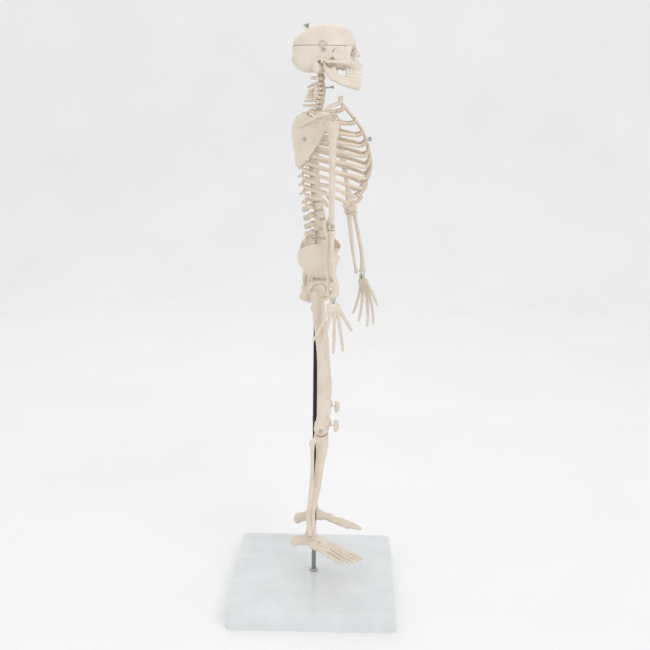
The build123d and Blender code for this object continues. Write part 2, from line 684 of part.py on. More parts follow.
def tibia():
    x, forward, z = KNEE
    ankle_x, ankle_forward, ankle_z = ANKLE
    top = z - 10.2
    body = shaft([
        ((x, forward + 0.5, top), 16.0, 9.8), ((x, forward + 0.5, top - 5), 15.6, 10.0),
        ((x, forward + 1.5, top - 16), 9.5, 9.0),
        ((x, forward, top - 38), 6.2, 6.6), ((x, forward - 4, top - 75), 5.0, 5.4),
        ((ankle_x, ankle_forward + 1.5, ankle_z + 36), 4.8, 4.8),
        ((ankle_x - 0.5, ankle_forward + 0.5, ankle_z + 14), 7.2, 6.2),
        ((ankle_x - 1, ankle_forward, ankle_z + 8.5), 9.0, 7.2),
    ])
    tuberosity = bar((x, forward + 7.5, top - 15), (x, forward + 5.0, top - 30), 3.6, 2.6)
    malleolus = bar((ankle_x - 9.6, ankle_forward + 1, ankle_z + 13),
                    (ankle_x - 11.0, ankle_forward + 0.6, ankle_z - 0.5), 3.4, 2.6)
    solid = joined([body, tuberosity, malleolus])
    solid -= peg((x - 20, forward, z), (x + 20, forward, z), 11.0)
    solid -= peg((ankle_x - 9.4, ankle_forward, ankle_z), (ankle_x + 20, ankle_forward, ankle_z), 8.0)
    solid = solid.solids().sort_by(SortBy.VOLUME)[-1]
    lug = [peg((x - 2.1, forward, z), (x + 2.1, forward, z), 4.8),
           bar((x, forward, z - 3), (x, forward, z - 14), 1.8)]
    solid = joined([solid, *lug])
    solid -= peg((x - 5, forward, z), (x + 5, forward, z), KNEE_PIN + RUN)
    return solid - peg((ankle_x - 12.6, ankle_forward, ankle_z), (ankle_x, ankle_forward, ankle_z), 1.25)


def fibula():
    x, forward, z = KNEE
    ankle_x, ankle_forward, ankle_z = ANKLE
    body = shaft([
        ((x + 14.0, forward - 11.5, z - 24), 2.8, 2.8), ((x + 13.5, forward - 11.5, z - 42), 2.1, 2.1),
        ((x + 12.0, forward - 12.5, z - 85), 2.2, 2.4),
        ((ankle_x + 11.0, ankle_forward - 3.5, ankle_z + 32), 2.1, 2.4),
        ((ankle_x + 12.0, ankle_forward - 2.0, ankle_z + 10), 2.6, 3.4),
    ])
    head = bar((x + 14.0, forward - 12.2, z - 20), (x + 14.0, forward - 12.0, z - 26), 3.6, 3.0)
    malleolus = bar((ankle_x + 12.2, ankle_forward - 1.6, ankle_z + 9),
                    (ankle_x + 12.4, ankle_forward - 0.4, ankle_z - 3.5), 3.2, 2.6)
    solid = joined([body, head, malleolus])
    return solid - peg((ankle_x + 5, ankle_forward, ankle_z), (ankle_x + 20, ankle_forward, ankle_z), 1.25)


def foot_spot(u, v, w):
    """A point of the left foot: u towards the toes, v outwards and w up from the ankle joint."""
    down, out = math.radians(TOE_DOWN), math.radians(TOE_OUT)
    ahead = u * math.cos(down) + w * math.sin(down)
    rise = w * math.cos(down) - u * math.sin(down)
    x = ANKLE[0] + v * math.cos(out) + ahead * math.sin(out)
    forward = ANKLE[1] + ahead * math.cos(out) - v * math.sin(out)
    return (x, forward, ANKLE[2] + rise)


# Per ray, great toe first: base and head of the metatarsal as (u, v, w), its radii, and the toe's length
TOES = (
    ((29, -9.5, -14), (55, -15.0, -22.5), 3.1, 21.0), ((32, -3.8, -12.5), (59, -6.2, -22.5), 2.0, 16.0),
    ((31, 1.2, -13.0), (57, 1.2, -22.5), 1.9, 14.0), ((29, 6.2, -15.0), (53, 8.0, -23.0), 1.9, 12.5),
    ((26, 10.6, -18.5), (48, 14.8, -23.5), 2.0, 11.0),
)


def foot():
    """Left foot as one moulding: ankle bone, heel, midfoot block, five rays and their toes."""
    talus = peg((ANKLE[0] - 6.6, ANKLE[1], ANKLE[2]), (ANKLE[0] + 7.2, ANKLE[1], ANKLE[2]), 7.4)
    lumps = [
        ((-3, 0, -7), (9, -2, -8), 6.6, 6.4), ((9, -2, -8), (18, -4, -11), 6.0, 5.2),
        ((-1, 0.5, -12), (-20, 2.0, -17.5), 7.0, 6.8), ((-20, 2.0, -17.5), (-21, 2.0, -20.5), 6.8, 6.0),
        ((6, 4, -15), (19, 7, -17), 6.2, 5.2), ((18, -4, -11), (28, -6.5, -13.5), 5.4, 4.6),
        ((19, 7, -17), (28, 6.5, -17), 4.8, 3.8), ((20, 1, -13), (30, 1, -13.5), 5.0, 4.0),
    ]
    pieces = [talus] + [bar(foot_spot(*a), foot_spot(*b), r0, r1) for a, b, r0, r1 in lumps]
    for k, (low, high, radius, toe) in enumerate(TOES):
        lean = (high[1] - low[1]) / (high[0] - low[0])
        start = (low[0] - 3, low[1], low[2])
        pieces.append(bar(foot_spot(*start), foot_spot(*high), radius * 1.15, radius * 1.2))
        tip = (high[0] + toe, high[1] + lean * toe * (0.1 if k == 0 else 0.5), -25.4)
        middle = mix(high, tip, 0.55)
        middle = (middle[0], middle[1], -23.6)
        pieces.append(bar(foot_spot(*high), foot_spot(*middle), radius, radius * 0.85))
        pieces.append(bar(foot_spot(*middle), foot_spot(*tip), radius * 0.85, radius * 0.8))
    solid = joined(pieces)
    return solid - peg((ANKLE[0] - 30, ANKLE[1], ANKLE[2]), (ANKLE[0] + 30, ANKLE[1], ANKLE[2]), 1.2 + RUN)


def ankle_pin():
    """Screw through both ankle knobs, its head on the outer side."""
    x, forward, z = ANKLE
    return joined([peg((x - 12.2, forward, z), (x + 16.6, forward, z), 1.2),
                   peg((x + 15.6, forward, z), (x + 17.0, forward, z), 2.2)])


# ---------------------------------------------------------------- arm, hanging from a shoulder at (0, 0, 0)

ELBOW_LOCAL = (7.0, 0.0, -UPPER_ARM)
WRIST_LOCAL = (3.0, WRIST_FORWARD, -UPPER_ARM - FOREARM)


def humerus():
    x, forward, z = ELBOW_LOCAL
    head = ball((0, 0, 0), HUMERUS_HEAD)
    bumps = [bar((5.5, 1.0, -2.5), (5.0, 1.0, -10), 5.4, 5.2),
             bar((1.5, 6.0, -6), (3.5, 4.0, -14), 3.2, 3.0)]
    body = shaft([
        ((3.0, 0.5, -8), 6.2, 6.2), ((4.6, 0.8, -28), 4.4, 4.6), ((6.0, 0.5, -66), 3.9, 4.1),
        ((6.6, 0, -100), 4.4, 3.7), ((x, forward, z + 13), 9.0, 3.6), ((x, forward, z + 6), 11.0, 4.0),
    ])
    trochlea = peg((x - 8.5, forward, z), (x + 8.5, forward, z), 4.6)
    knobs = [bar((x - 11.5, forward - 1, z + 6.5), (x - 8, forward - 0.5, z + 9), 3.2, 3.6),
             bar((x + 10.5, forward - 1, z + 6.5), (x + 8, forward - 0.5, z + 9), 2.8, 3.2)]
    solid = joined([head, *bumps, body, trochlea, *knobs])
    solid -= peg((x - 30, forward, z), (x + 30, forward, z), 1.1 + RUN)
    return solid - bar((x - 4.5, forward + 6.6, z + 6.4), (x + 6.5, forward + 6.6, z + 6.4), 5.0)


def elbow_pin():
    x, forward, z = ELBOW_LOCAL
    return joined([peg((x - 8.4, forward, z), (x + 9.4, forward, z), 1.1),
                   peg((x + 8.8, forward, z), (x + 10.0, forward, z), 2.1)])


def ulna():
    x, forward, z = ELBOW_LOCAL
    wrist_x, wrist_forward, wrist_z = WRIST_LOCAL
    body = shaft([
        ((x - 3.5, forward - 3, z - 8), 3.6, 4.2), ((x - 4.5, forward - 3.5, z - 24), 2.7, 3.1),
        ((x - 6.5, forward - 4.0, z - 58), 2.2, 2.4),
        ((wrist_x - 5.0, wrist_forward - 6.0, wrist_z + 14), 2.0, 2.1),
        ((wrist_x - 4.0, wrist_forward - 7.0, wrist_z + 6.5), 2.9, 2.9),
    ])
    hook = [bar((x - 3.2, forward - 6.4, z - 6), (x - 3.2, forward - 7.6, z + 4.5), 3.4, 3.2),
            bar((x - 3.2, forward - 2, z - 8.0), (x - 3.2, forward + 4.4, z - 6.4), 2.6, 1.8)]
    solid = joined([body, *hook])
    solid -= peg((x - 9.5, forward, z), (x + 9.5, forward, z), 5.0)
    return solid.solids().sort_by(SortBy.VOLUME)[-1]


def radius():
    x, forward, z = ELBOW_LOCAL
    wrist_x, wrist_forward, wrist_z = WRIST_LOCAL
    head = peg((x + 5.2, forward + 0.5, z - 5.4), (x + 5.0, forward + 0.5, z - 9.4), 4.1)
    body = shaft([
        ((x + 5.0, forward + 0.5, z - 8.8), 2.9, 2.9), ((x + 4.6, forward + 0.6, z - 18), 2.5, 2.6),
        ((x + 4.2, forward + 3.0, z - 55), 2.7, 2.8),
        ((wrist_x + 2.5, wrist_forward + 2.8, wrist_z + 20), 3.0, 3.4),
        ((wrist_x + 0.8, wrist_forward + 1.5, wrist_z + 7), 4.4, 6.0),
    ])
    solid = joined([head, body])
    solid -= peg((wrist_x, wrist_forward, wrist_z + 3), (wrist_x, wrist_forward, wrist_z + 12), 0.65)
    return solid - peg((x - 9.5, forward, z), (x + 9.5, forward, z), 5.0)


def wrist_wire():
    """Wire loop that ties the hand to the forearm, with its eye round the hand's pin."""
    x, forward, z = WRIST_LOCAL
    eye = Pos(at(x, forward, z)) * Rot(X=90) * Torus(2.3, 0.55)
    return joined([eye, peg((x, forward, z + 2.2), (x, forward, z + 11.5), 0.6)])


# Per finger, thumb first: start (forward, z) from the wrist, fan angle, metacarpal length, three finger bones
FINGERS = (
    (7.0, -8.0, 30, 17, (12.0, 9.5), 2.0), (6.2, -13.0, 9, 26, (15.5, 9.5, 7.0), 1.9),
    (2.2, -14.0, 0, 25, (17.0, 11.0, 7.5), 1.9),
    (-2.0, -13.5, -14, 23, (15.5, 10.5, 7.5), 1.8), (-5.8, -12.5, -25, 21, (12.5, 8.0, 6.5), 1.7),
)
FINGER_CURL = 7.0


def hand():
    """Left hand as one moulding: wrist block and five rays, hanging open with the thumb to the front."""
    x, forward, z = WRIST_LOCAL
    block = [bar((x, forward - 5.0, z - 6.5), (x, forward + 5.5, z - 6.5), 3.6),
             bar((x, forward - 4.6, z - 11), (x, forward + 5.5, z - 11), 3.4),
             bar((x, forward - 1.5, z - 3.2), (x, forward + 1.5, z - 3.2), 2.6)]
    pieces = list(block)
    for start_forward, start_z, fan, palm, bones, r in FINGERS:
        point = (x, forward + start_forward, z + start_z)
        angle = math.radians(fan)
        curl = 0.0
        for k, length in enumerate((palm, *bones)):
            if k:
                curl += math.radians(FINGER_CURL)
            step = (-length * math.sin(curl), length * math.sin(angle) * math.cos(curl),
                    -length * math.cos(angle) * math.cos(curl))
            end = tuple(p + s for p, s in zip(point, step))
            thick = r * (1.0, 0.95, 0.85, 0.72)[k]
            pieces.append(bar(point, end, thick * 1.1, thick))
            point = end
    solid = joined(pieces)
    solid -= ball((x, forward, z), 3.4)
    return joined([solid.solids().sort_by(SortBy.VOLUME)[-1],
                   peg((x, forward - 4.2, z), (x, forward + 4.2, z), 1.0),
                   bar((x, forward - 4.0, z), (x, forward - 4.4, z - 5), 1.2, 1.6),
                   bar((x, forward + 4.0, z), (x, forward + 4.4, z - 5), 1.2, 1.6)])


def shoulder_link():
    return cross_link(SHOULDER, 17.5, 9.0, 0)


def hung(shape, side):
    """Places an arm piece: mirrored for the right, turned, swung forward and set at the shoulder."""
    sign = 1 if side == "left" else -1
    shape = shape if side == "left" else other_side(shape)
    shape = Rot(Z=-sign * ARM_TURN[side]) * shape
    shape = Rot(X=-ARM_SWING[side]) * shape
    return Pos(at(sign * SHOULDER[0], SHOULDER[1], SHOULDER[2])) * shape


# ---------------------------------------------------------------- skull


def brain_case():
    """The hollow egg of the skull, before it is cut into cap and base."""
    x, forward, z = SKULL
    inner = tuple(h - SKULL_WALL for h in SKULL_HALF)
    return blob(SKULL, SKULL_HALF) - blob((x, forward, z + 0.5), inner)


def stud_plane():
    """Plane on the crown's surface whose normal is the hanging stud's axis."""
    lean = math.radians(STUD_LEAN)
    return Plane(origin=at(*STUD), z_dir=at(0, -math.sin(lean), math.cos(lean)))


def calvaria():
    above = Box(200, 200, 100,
                align=(Align.CENTER, Align.CENTER, Align.MIN)).move(Location((0, 0, CAP_CUT_Z + CAP_GAP)))
    cap = (brain_case() & above).solids().sort_by(SortBy.VOLUME)[-1]
    x, forward, z = HOOK_STUD
    for side in (1, -1):
        cap -= peg((side * (x - 12), forward, z), (side * (x + 2), forward, z), 0.75)
    return cap - stud_plane() * Cylinder(1.55, 16)


def cap_studs():
    """Flared hanging stud in the crown, and the two side studs that the hooks lie over."""
    low = (Align.CENTER, Align.CENTER, Align.MIN)
    plane = stud_plane()
    stem = plane * Pos(0, 0, -7.0) * Cylinder(1.5, 9, align=low)
    flare = plane * Pos(0, 0, 1.0) * Cone(1.5, 4.5, 4.6, align=low)
    rim = plane * Pos(0, 0, 5.5) * Cylinder(4.5, 0.8, align=low)
    studs = [joined([stem, flare, rim])]
    x, forward, z = HOOK_STUD
    for side in (1, -1):
        studs.append(peg((side * (x - 5), forward, z), (side * (x + 1.9), forward, z), 0.7))
    return studs


def cap_hook():
    """Flat wire hook on the temple: pivot eye, shank and bent tip."""
    x, forward, z = HOOK_PIVOT
    points = [(0, 1.7), (-4.4, 5.6), (-5.6, 8.2), (-3.6, 10.6), (0.4, 11.4), (1.8, 10.4)]
    spots = [(x + 0.6, forward + f, z + u) for f, u in points]
    wire = [bar(a, b, 0.62) for a, b in zip(spots, spots[1:])]
    eye = peg((x + 0.0, forward, z), (x + 1.2, forward, z), 2.1)
    return joined([eye, *wire]) - peg((x - 2, forward, z), (x + 3, forward, z), 1.05)


def skull_screws():
    """Pivot screws of the two hooks, and the two pins that the jaw swings on."""
    screws = []
    for side in (1, -1):
        x, forward, z = HOOK_PIVOT
        shank = peg((side * (x - 4.0), forward, z), (side * (x + 1.8), forward, z), 0.95)
        screws.append(joined([shank,
                              peg((side * (x + 1.4), forward, z), (side * (x + 2.3), forward, z), 1.8)]))
        x, forward, z = JAW_AXIS
        screws.append(joined([peg((side * (x - 5.0), forward, z), (side * (x + 7.4), forward, z), 0.8),
                              peg((side * (x + 7.1), forward, z), (side * (x + 8.1), forward, z), 1.5)]))
    return screws


def face():
    """Cheeks, brow, nose and upper jaw, before the eye sockets and nose opening are cut."""
    pieces = [
        blob((0, 40, 788), (21, 13, 12)), blob((0, 43, 771), (14.5, 14, 11)),
        bar((-13, 44, 795), (13, 44, 795), 5.4),
        bar((0, 47, 792), (0, 54.5, 783.5), 4.0, 2.4),
        peg((0, 45.5, BITE_Z + 4.2), (0, 45.5, BITE_Z + 12), 14.2),
    ]
    for side in (1, -1):
        pieces += [
            bar((side * 24, 43, 793), (side * 25.5, 38, 781), 3.4, 3.0),
            bar((side * 25.5, 38, 781), (side * 22.8, 41.8, 774.2), 3.2, 4.1),
            bar((side * 22.8, 41.8, 774.2), (side * 13, 48, 770), 4.1, 4.8),
            bar((side * 24, 40, 775), (side * 29, 28, 774.5), 3.2, 2.0),
            bar((side * 29, 28, 774.5), (side * 29, 15, 774.5), 2.0, 2.4),
            bar((side * 29, 15, 774.5), (side * 28, 6, 775), 2.4, 3.8),
            bar((side * 23.5, -1, 770), (side * 22.5, 0.5, 761), 5.2, 3.2),
            bar((side * 6.5, 4, 760.5), (side * 7.5, -1, 761), 3.2, 3.0),
        ]
    return pieces


def teeth(centre_forward, radius, z_low, height, count):
    """A dental arch as one band, with a groove between each tooth and the next."""
    low = (Align.CENTER, Align.CENTER, Align.MIN)
    middle = Pos(at(0, centre_forward, z_low))
    arch = middle * Cylinder(radius + 1.4, height, align=low) - middle * Cylinder(radius - 1.5, height,
                                                                                  align=low)
    arch -= Pos(at(0, centre_forward - 3.0, z_low - 1)) * Box(60, 40, height + 2,
                                                              align=(Align.CENTER, Align.MIN, Align.MIN))
    grooves = []
    for k in range(count - 1):
        turn = math.radians(-80 + 160 * (k + 0.5) / (count - 1))
        x, forward = (radius + 1.6) * math.sin(turn), centre_forward + (radius + 1.6) * math.cos(turn)
        grooves.append(Pos(at(x, forward, z_low - 1)) * Cylinder(0.5, height * 0.8 + 1, align=low))
    return [arch - grooves]


def skull_base():
    """Skull below the cap: case, face, upper teeth, with the sockets, nose, ear pits and bores cut."""
    below = Box(200, 200, 100,
                align=(Align.CENTER, Align.CENTER, Align.MAX)).move(Location((0, 0, CAP_CUT_Z)))
    case = (brain_case() & below).solids().sort_by(SortBy.VOLUME)[-1]
    inside = blob((0, SKULL[1], SKULL[2] + 0.5), tuple(h - SKULL_WALL for h in SKULL_HALF))
    front = joined(face()) - inside
    front = (front & below).solids().sort_by(SortBy.VOLUME)[-1]
    solid = joined([case, front, *teeth(45.5, 14.2, BITE_Z + 0.1, 5.6, 14)])
    cuts = [
        bar((0, 62, 772.5), (0, 44, 773), 4.2, 3.4), bar((0, 62, 777), (0, 44, 777), 2.8, 2.4),
        peg((0, -5.0, 740), (0, -5.0, 770), 6.0),
        peg((0, NECK_AXIS, 740), (0, NECK_AXIS, 780), SPINE_ROD_RADIUS + 0.7),
    ]
    for side in (1, -1):
        socket = Plane(origin=at(side * 14.0, 60, 786.5), z_dir=at(-side * 5.0, -20, 0))
        cuts.append(socket * Cone(9.0, 3.5, 27, align=(Align.CENTER, Align.CENTER, Align.MIN)))
        cuts.append(bar((side * 23.5, 21.0, 772), (side * 22.5, 19, 780), 4.6))
        x, forward, z = JAW_AXIS
        cuts.append(peg((side * (x - 6.0), forward, z), (side * (x + 3.8), forward, z), 4.2))
        cuts.append(peg((side * (x - 9), forward, z), (side * (x + 9), forward, z), 0.85))
        cuts.append(bar((side * (x - 0.2), forward, z - 3), (side * (x - 0.8), forward + 3, z - 9), 4.0))
        x, forward, z = HOOK_PIVOT
        cuts.append(peg((side * (x - 9), forward, z), (side * (x + 3), forward, z), 1.0))
    for cut in cuts:
        solid = joined((solid - cut).solids().sort_by(SortBy.VOLUME)[-1:])
    return solid


def mandible():
    """Lower jaw: chin, body, upright branches with their knuckles, and its teeth."""
    pieces = [bar((-8, 51.5, 743), (8, 51.5, 743), 5.6), bar((-7, 53.5, 749), (7, 53.5, 749), 4.6)]
    for side in (1, -1):
        x, forward, z = JAW_AXIS
        pieces += [
            bar((side * 8, 51.5, 743), (side * 21, 29, 748.5), 5.4, 3.8),
            bar((side * 7.5, 52, 750), (side * 20, 31, 753.5), 4.0, 3.0),
            bar((side * 21.5, 28, 749.5), (side * 23.5, 15.5, 756), 3.6, 3.0),
            bar((side * 22, 26, 753.5), (side * 22.8, 22.0, 767.5), 3.2, 1.8),
            bar((side * 23.5, 15.5, 756), (side * x, forward, z - 2), 3.2, 2.2),
            bar((side * 22.0, 21, 754.5), (side * 23.2, 16, 761), 3.0, 2.6),
            bar((side * (x - 2.0), forward, z), (side * (x + 0.8), forward, z), 2.6),
        ]
    pieces += teeth(44.8, 13.2, BITE_Z - 5.8, 5.6, 14)
    solid = joined(pieces)
    for side in (1, -1):
        x, forward, z = JAW_AXIS
        solid -= peg((side * (x - 9), forward, z), (side * (x + 9), forward, z), 0.8 + RUN)
    return solid


def both(make):
    """The piece for the left side and its mirror for the right."""
    left = make()
    return {"left": left, "right": other_side(left)}


def parts():
    """Every node's name and its solids."""
    made = {
        "base_plate": base_plate(), "base_feet": base_feet(), "stand_rod": stand_rod(),
        "rod_lock_nuts": rod_lock_nuts(),
        "pelvis_bracket": pelvis_bracket(), "trunk_screws": trunk_screws(), "spine_rod": spine_rod(),
        "sacrum": sacrum(),
        "lumbar_vertebrae": lumbar_vertebrae(), "thoracic_vertebrae": thoracic_vertebrae(),
        "cervical_vertebrae": cervical_vertebrae(), "cartilage_discs": cartilage_discs(),
        "sternum": sternum(),
        "sternum_screw": sternum_screw(), "skull_base": skull_base(), "calvaria": calvaria(),
        "mandible": mandible(),
        "cap_studs": cap_studs(), "skull_screws": skull_screws(),
    }
    left_ribs, left_strips = ribs(), costal_cartilages()
    made["ribs_left"], made["ribs_right"] = left_ribs, [other_side(r) for r in left_ribs]
    made["costal_cartilages"] = left_strips + [other_side(strip) for strip in left_strips]
    mirrored = {
        "clavicle": clavicle, "scapula": scapula, "hip_bone": hip_bone, "hip_link": hip_link,
        "femur": femur,
        "patella": patella, "knee_pin": knee_pin, "tibia": tibia, "fibula": fibula, "ankle_pin": ankle_pin,
        "foot": foot,
        "cap_hook": cap_hook, "shoulder_link": shoulder_link,
    }
    for name, make in mirrored.items():
        for side, shape in both(make).items():
            made[f"{name}_{side}"] = shape
    for make in (humerus, elbow_pin, ulna, radius, wrist_wire, hand):
        shape = make()
        for side in ("left", "right"):
            made[f"{make.__name__}_{side}"] = hung(shape, side)
    opening = slot(SHOULDER, HUMERUS_HEAD + 2, ARM_LIFT)
    made["humerus_left"] = made["humerus_left"] - opening
    made["humerus_right"] = made["humerus_right"] - other_side(opening)
    return made


def solids_of(shape):
    """The solids of a shape or of a list of shapes."""
    if isinstance(shape, (list, tuple)):
        return [s for piece in shape for s in piece.solids()]
    return list(shape.solids())


def main():
    os.makedirs("parts", exist_ok=True)
    for name, shape in parts().items():
        export_step(Compound(children=solids_of(shape)), f"parts/{name}.step")


main()
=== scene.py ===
"""Looks of the desk-size human skeleton model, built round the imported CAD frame.

Each bone starts from its CAD node as a distance field, is given more bone shape with rounded cones and
hollows, is softened and meshed again. Lengths inside the script are millimetres, with F = forward = -Y.
"""

import json
import math

import bpy
import numpy as np
import openvdb
from mathutils import Matrix, Vector


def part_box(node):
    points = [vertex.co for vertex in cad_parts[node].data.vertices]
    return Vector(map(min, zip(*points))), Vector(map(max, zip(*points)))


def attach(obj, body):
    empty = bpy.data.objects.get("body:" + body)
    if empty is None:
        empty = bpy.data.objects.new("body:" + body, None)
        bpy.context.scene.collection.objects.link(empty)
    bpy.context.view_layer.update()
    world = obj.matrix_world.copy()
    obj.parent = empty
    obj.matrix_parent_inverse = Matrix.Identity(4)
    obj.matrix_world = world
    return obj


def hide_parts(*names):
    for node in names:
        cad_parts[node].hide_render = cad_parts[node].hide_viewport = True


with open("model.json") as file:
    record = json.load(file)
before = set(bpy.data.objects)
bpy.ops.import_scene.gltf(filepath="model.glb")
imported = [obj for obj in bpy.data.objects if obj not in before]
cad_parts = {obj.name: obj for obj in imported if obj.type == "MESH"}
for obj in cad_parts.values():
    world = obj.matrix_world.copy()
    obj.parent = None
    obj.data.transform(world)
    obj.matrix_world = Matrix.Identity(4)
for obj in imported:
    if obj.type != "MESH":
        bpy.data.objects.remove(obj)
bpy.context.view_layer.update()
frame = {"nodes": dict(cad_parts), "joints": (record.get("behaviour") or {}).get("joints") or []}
MM = 1000.0
BAND = 5  # half width of the distance band, in voxels
JOINTS = {joint["name"]: joint for joint in frame["joints"]}


# ---------------------------------------------------------------- places from the frame


def place(name):
    """A joint's position in millimetres as (x, y, z)."""
    return np.array(JOINTS[name]["pos_m"]) * MM


def corners(node):
    """Lowest and highest corner of a CAD node in millimetres."""
    low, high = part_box(node)
    return np.array(low) * MM, np.array(high) * MM


def off(origin, x, forward, up):
    """A point given by its offset from origin to the left, to the front and up."""
    return origin + np.array([x, -forward, up])


# ---------------------------------------------------------------- rounded shapes as distance fields


def cone(a, b, ra, rb=None):
    """A rod with ball ends from a to b, radius ra to rb."""
    a, b = np.array(a, float), np.array(b, float)
    rb = ra if rb is None else rb
    along = b - a
    length2 = max(float(along @ along), 1e-9)
    widest = max(ra, rb)

    def field(x, y, z):
        dx, dy, dz = x - a[0], y - a[1], z - a[2]
        t = np.clip((dx * along[0] + dy * along[1] + dz * along[2]) / length2, 0, 1)
        dx, dy, dz = dx - t * along[0], dy - t * along[1], dz - t * along[2]
        return np.sqrt(dx * dx + dy * dy + dz * dz) - (ra + (rb - ra) * t)

    return np.minimum(a, b) - widest, np.maximum(a, b) + widest, field


def egg(centre, half, turn=None):
    """An ellipsoid with half sizes along x, y, z, turned by a matrix."""
    centre, half = np.array(centre, float), np.array(half, float)
    reach = np.full(3, half.max())

    def field(x, y, z):
        d = [x - centre[0], y - centre[1], z - centre[2]]
        if turn is not None:
            d = [sum(turn[k][i] * d[k] for k in range(3)) for i in range(3)]
        near = np.sqrt(sum((v / h) ** 2 for v, h in zip(d, half)))
        slope = np.sqrt(sum((v / (h * h)) ** 2 for v, h in zip(d, half)))
        return near * (near - 1.0) / np.maximum(slope, 1e-6)

    return centre - reach, centre + reach, field


def slab(level, axis=2, keep_low=True):
    """Everything on one side of a level plane across an axis, for cutting."""
    sign = -1.0 if keep_low else 1.0

    def field(x, y, z):
        return sign * ((x, y, z)[axis] - level) + 0 * x + 0 * y + 0 * z

    return np.full(3, -1e4), np.full(3, 1e4), field


class Clay:
    """A block of distance values that shapes are added to and cut from."""

    def __init__(self, low, high, voxel):
        self.voxel = voxel
        self.low = np.floor(np.array(low, float) / voxel).astype(int) - BAND - 2
        size = np.ceil(np.array(high, float) / voxel).astype(int) + BAND + 3 - self.low
        self.far = BAND * voxel
        self.values = np.full(size, self.far, np.float32)

    def window(self, low, high, margin):
        first = np.floor((np.array(low) - margin) / self.voxel).astype(int) - self.low
        last = np.ceil((np.array(high) + margin) / self.voxel).astype(int) - self.low + 1
        first = np.clip(first, 0, self.values.shape)
        last = np.clip(last, 0, self.values.shape)
        span = tuple(slice(int(f), int(e)) for f, e in zip(first, last))
        axes = [(np.arange(s.start, s.stop) + o) * self.voxel for s, o in zip(span, self.low)]
        x, y, z = axes[0][:, None, None], axes[1][None, :, None], axes[2][None, None, :]
        return span, x.astype(np.float32), y.astype(np.float32), z.astype(np.float32)

    def add(self, shape, blend=1.0):
        """Adds a shape, with a fillet of about blend where it meets what is there."""
        low, high, field = shape
        span, x, y, z = self.window(low, high, blend + self.far)
        if min(s.stop - s.start for s in span) <= 0:
            return self
        there, new = self.values[span], field(x, y, z)
        soft = np.maximum(blend - np.abs(there - new), 0) / blend
        self.values[span] = np.clip(np.minimum(there, new) - soft * soft * blend * 0.25, -self.far,
                                    self.far)
        return self

    def cut(self, shape, blend=0.6):
        """Takes a shape away, rounding the edge it leaves."""
        low, high, field = shape
        span, x, y, z = self.window(low, high, blend + self.far)
        if min(s.stop - s.start for s in span) <= 0:
            return self
        there, new = self.values[span], -field(x, y, z)
        soft = np.maximum(blend - np.abs(there - new), 0) / blend
        self.values[span] = np.clip(np.maximum(there, new) + soft * soft * blend * 0.25, -self.far,
                                    self.far)
        return self

    def soften(self, spread):
        """Blurs the values, which fills sharp inner corners and rounds outer ones."""
        sigma = spread / self.voxel
        reach = max(1, int(math.ceil(2.2 * sigma)))
        weights = np.exp(-0.5 * (np.arange(-reach, reach + 1) / sigma) ** 2)
        weights /= weights.sum()
        for axis in range(3):
            padded = np.pad(self.values, [(reach, reach) if k == axis else (0, 0) for k in range(3)],
                            mode="edge")
            total = np.zeros_like(self.values)
            for k, weight in enumerate(weights):
                part = [slice(None)] * 3
                part[axis] = slice(k, k + self.values.shape[axis])
                total += np.float32(weight) * padded[tuple(part)]
            self.values = total
        return self

    def grow(self, amount):
        self.values -= np.float32(amount)
        return self

    def mesh(self):
        """Corner points in millimetres and quads."""
        grid = openvdb.FloatGrid(self.far)
        grid.copyFromArray(np.ascontiguousarray(self.values), tolerance=0)
        points, quads = grid.convertToQuads(isovalue=0.0)
        return (points + self.low) * self.voxel, quads


def clay_of(node, voxel, room=2.0):
    """The CAD node as clay."""
    mesh = frame["nodes"][node].data
    mesh.calc_loop_triangles()
    points = np.zeros(len(mesh.vertices) * 3, np.float32)
    mesh.vertices.foreach_get("co", points)
    points = points.reshape(-1, 3) * MM
    triangles = np.zeros(len(mesh.loop_triangles) * 3, np.int32)
    mesh.loop_triangles.foreach_get("vertices", triangles)
    triangles = triangles.reshape(-1, 3).astype(np.uint32)
    clay = Clay(points.min(0) - room, points.max(0) + room, voxel)
    step = openvdb.createLinearTransform(voxel)
    level = openvdb.FloatGrid.createLevelSetFromPolygons(
        points.astype(np.float32), triangles=triangles, transform=step, halfWidth=float(BAND)
    )
    level.copyToArray(clay.values, ijk=tuple(int(v) for v in clay.low))
    return clay


def piece(name, points, quads, body, nodes, material):
    """A smooth mesh object that rides on a body and stands for CAD nodes."""
    mesh = bpy.data.meshes.new(name)
    mesh.vertices.add(len(points))
    mesh.vertices.foreach_set("co", (points / MM).astype(np.float32).ravel())
    mesh.loops.add(len(quads) * 4)
    mesh.loops.foreach_set("vertex_index", quads.astype(np.int32).ravel())
    mesh.polygons.add(len(quads))
    mesh.polygons.foreach_set("loop_start", np.arange(0, len(quads) * 4, 4, dtype=np.int32))
    mesh.polygons.foreach_set("use_smooth", np.ones(len(quads), bool))
    mesh.update(calc_edges=True)
    mesh.materials.append(material)
    thing = bpy.data.objects.new(name, mesh)
    bpy.context.scene.collection.objects.link(thing)
    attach(thing, body)
    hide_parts(*nodes)


def finish_clay(clay, name, body, nodes, material, spread=0.5):
    """Softens the clay and makes its piece."""
    points, quads = clay.soften(spread).mesh()
    piece(name, points, quads, body, nodes, material)


# ---------------------------------------------------------------- materials


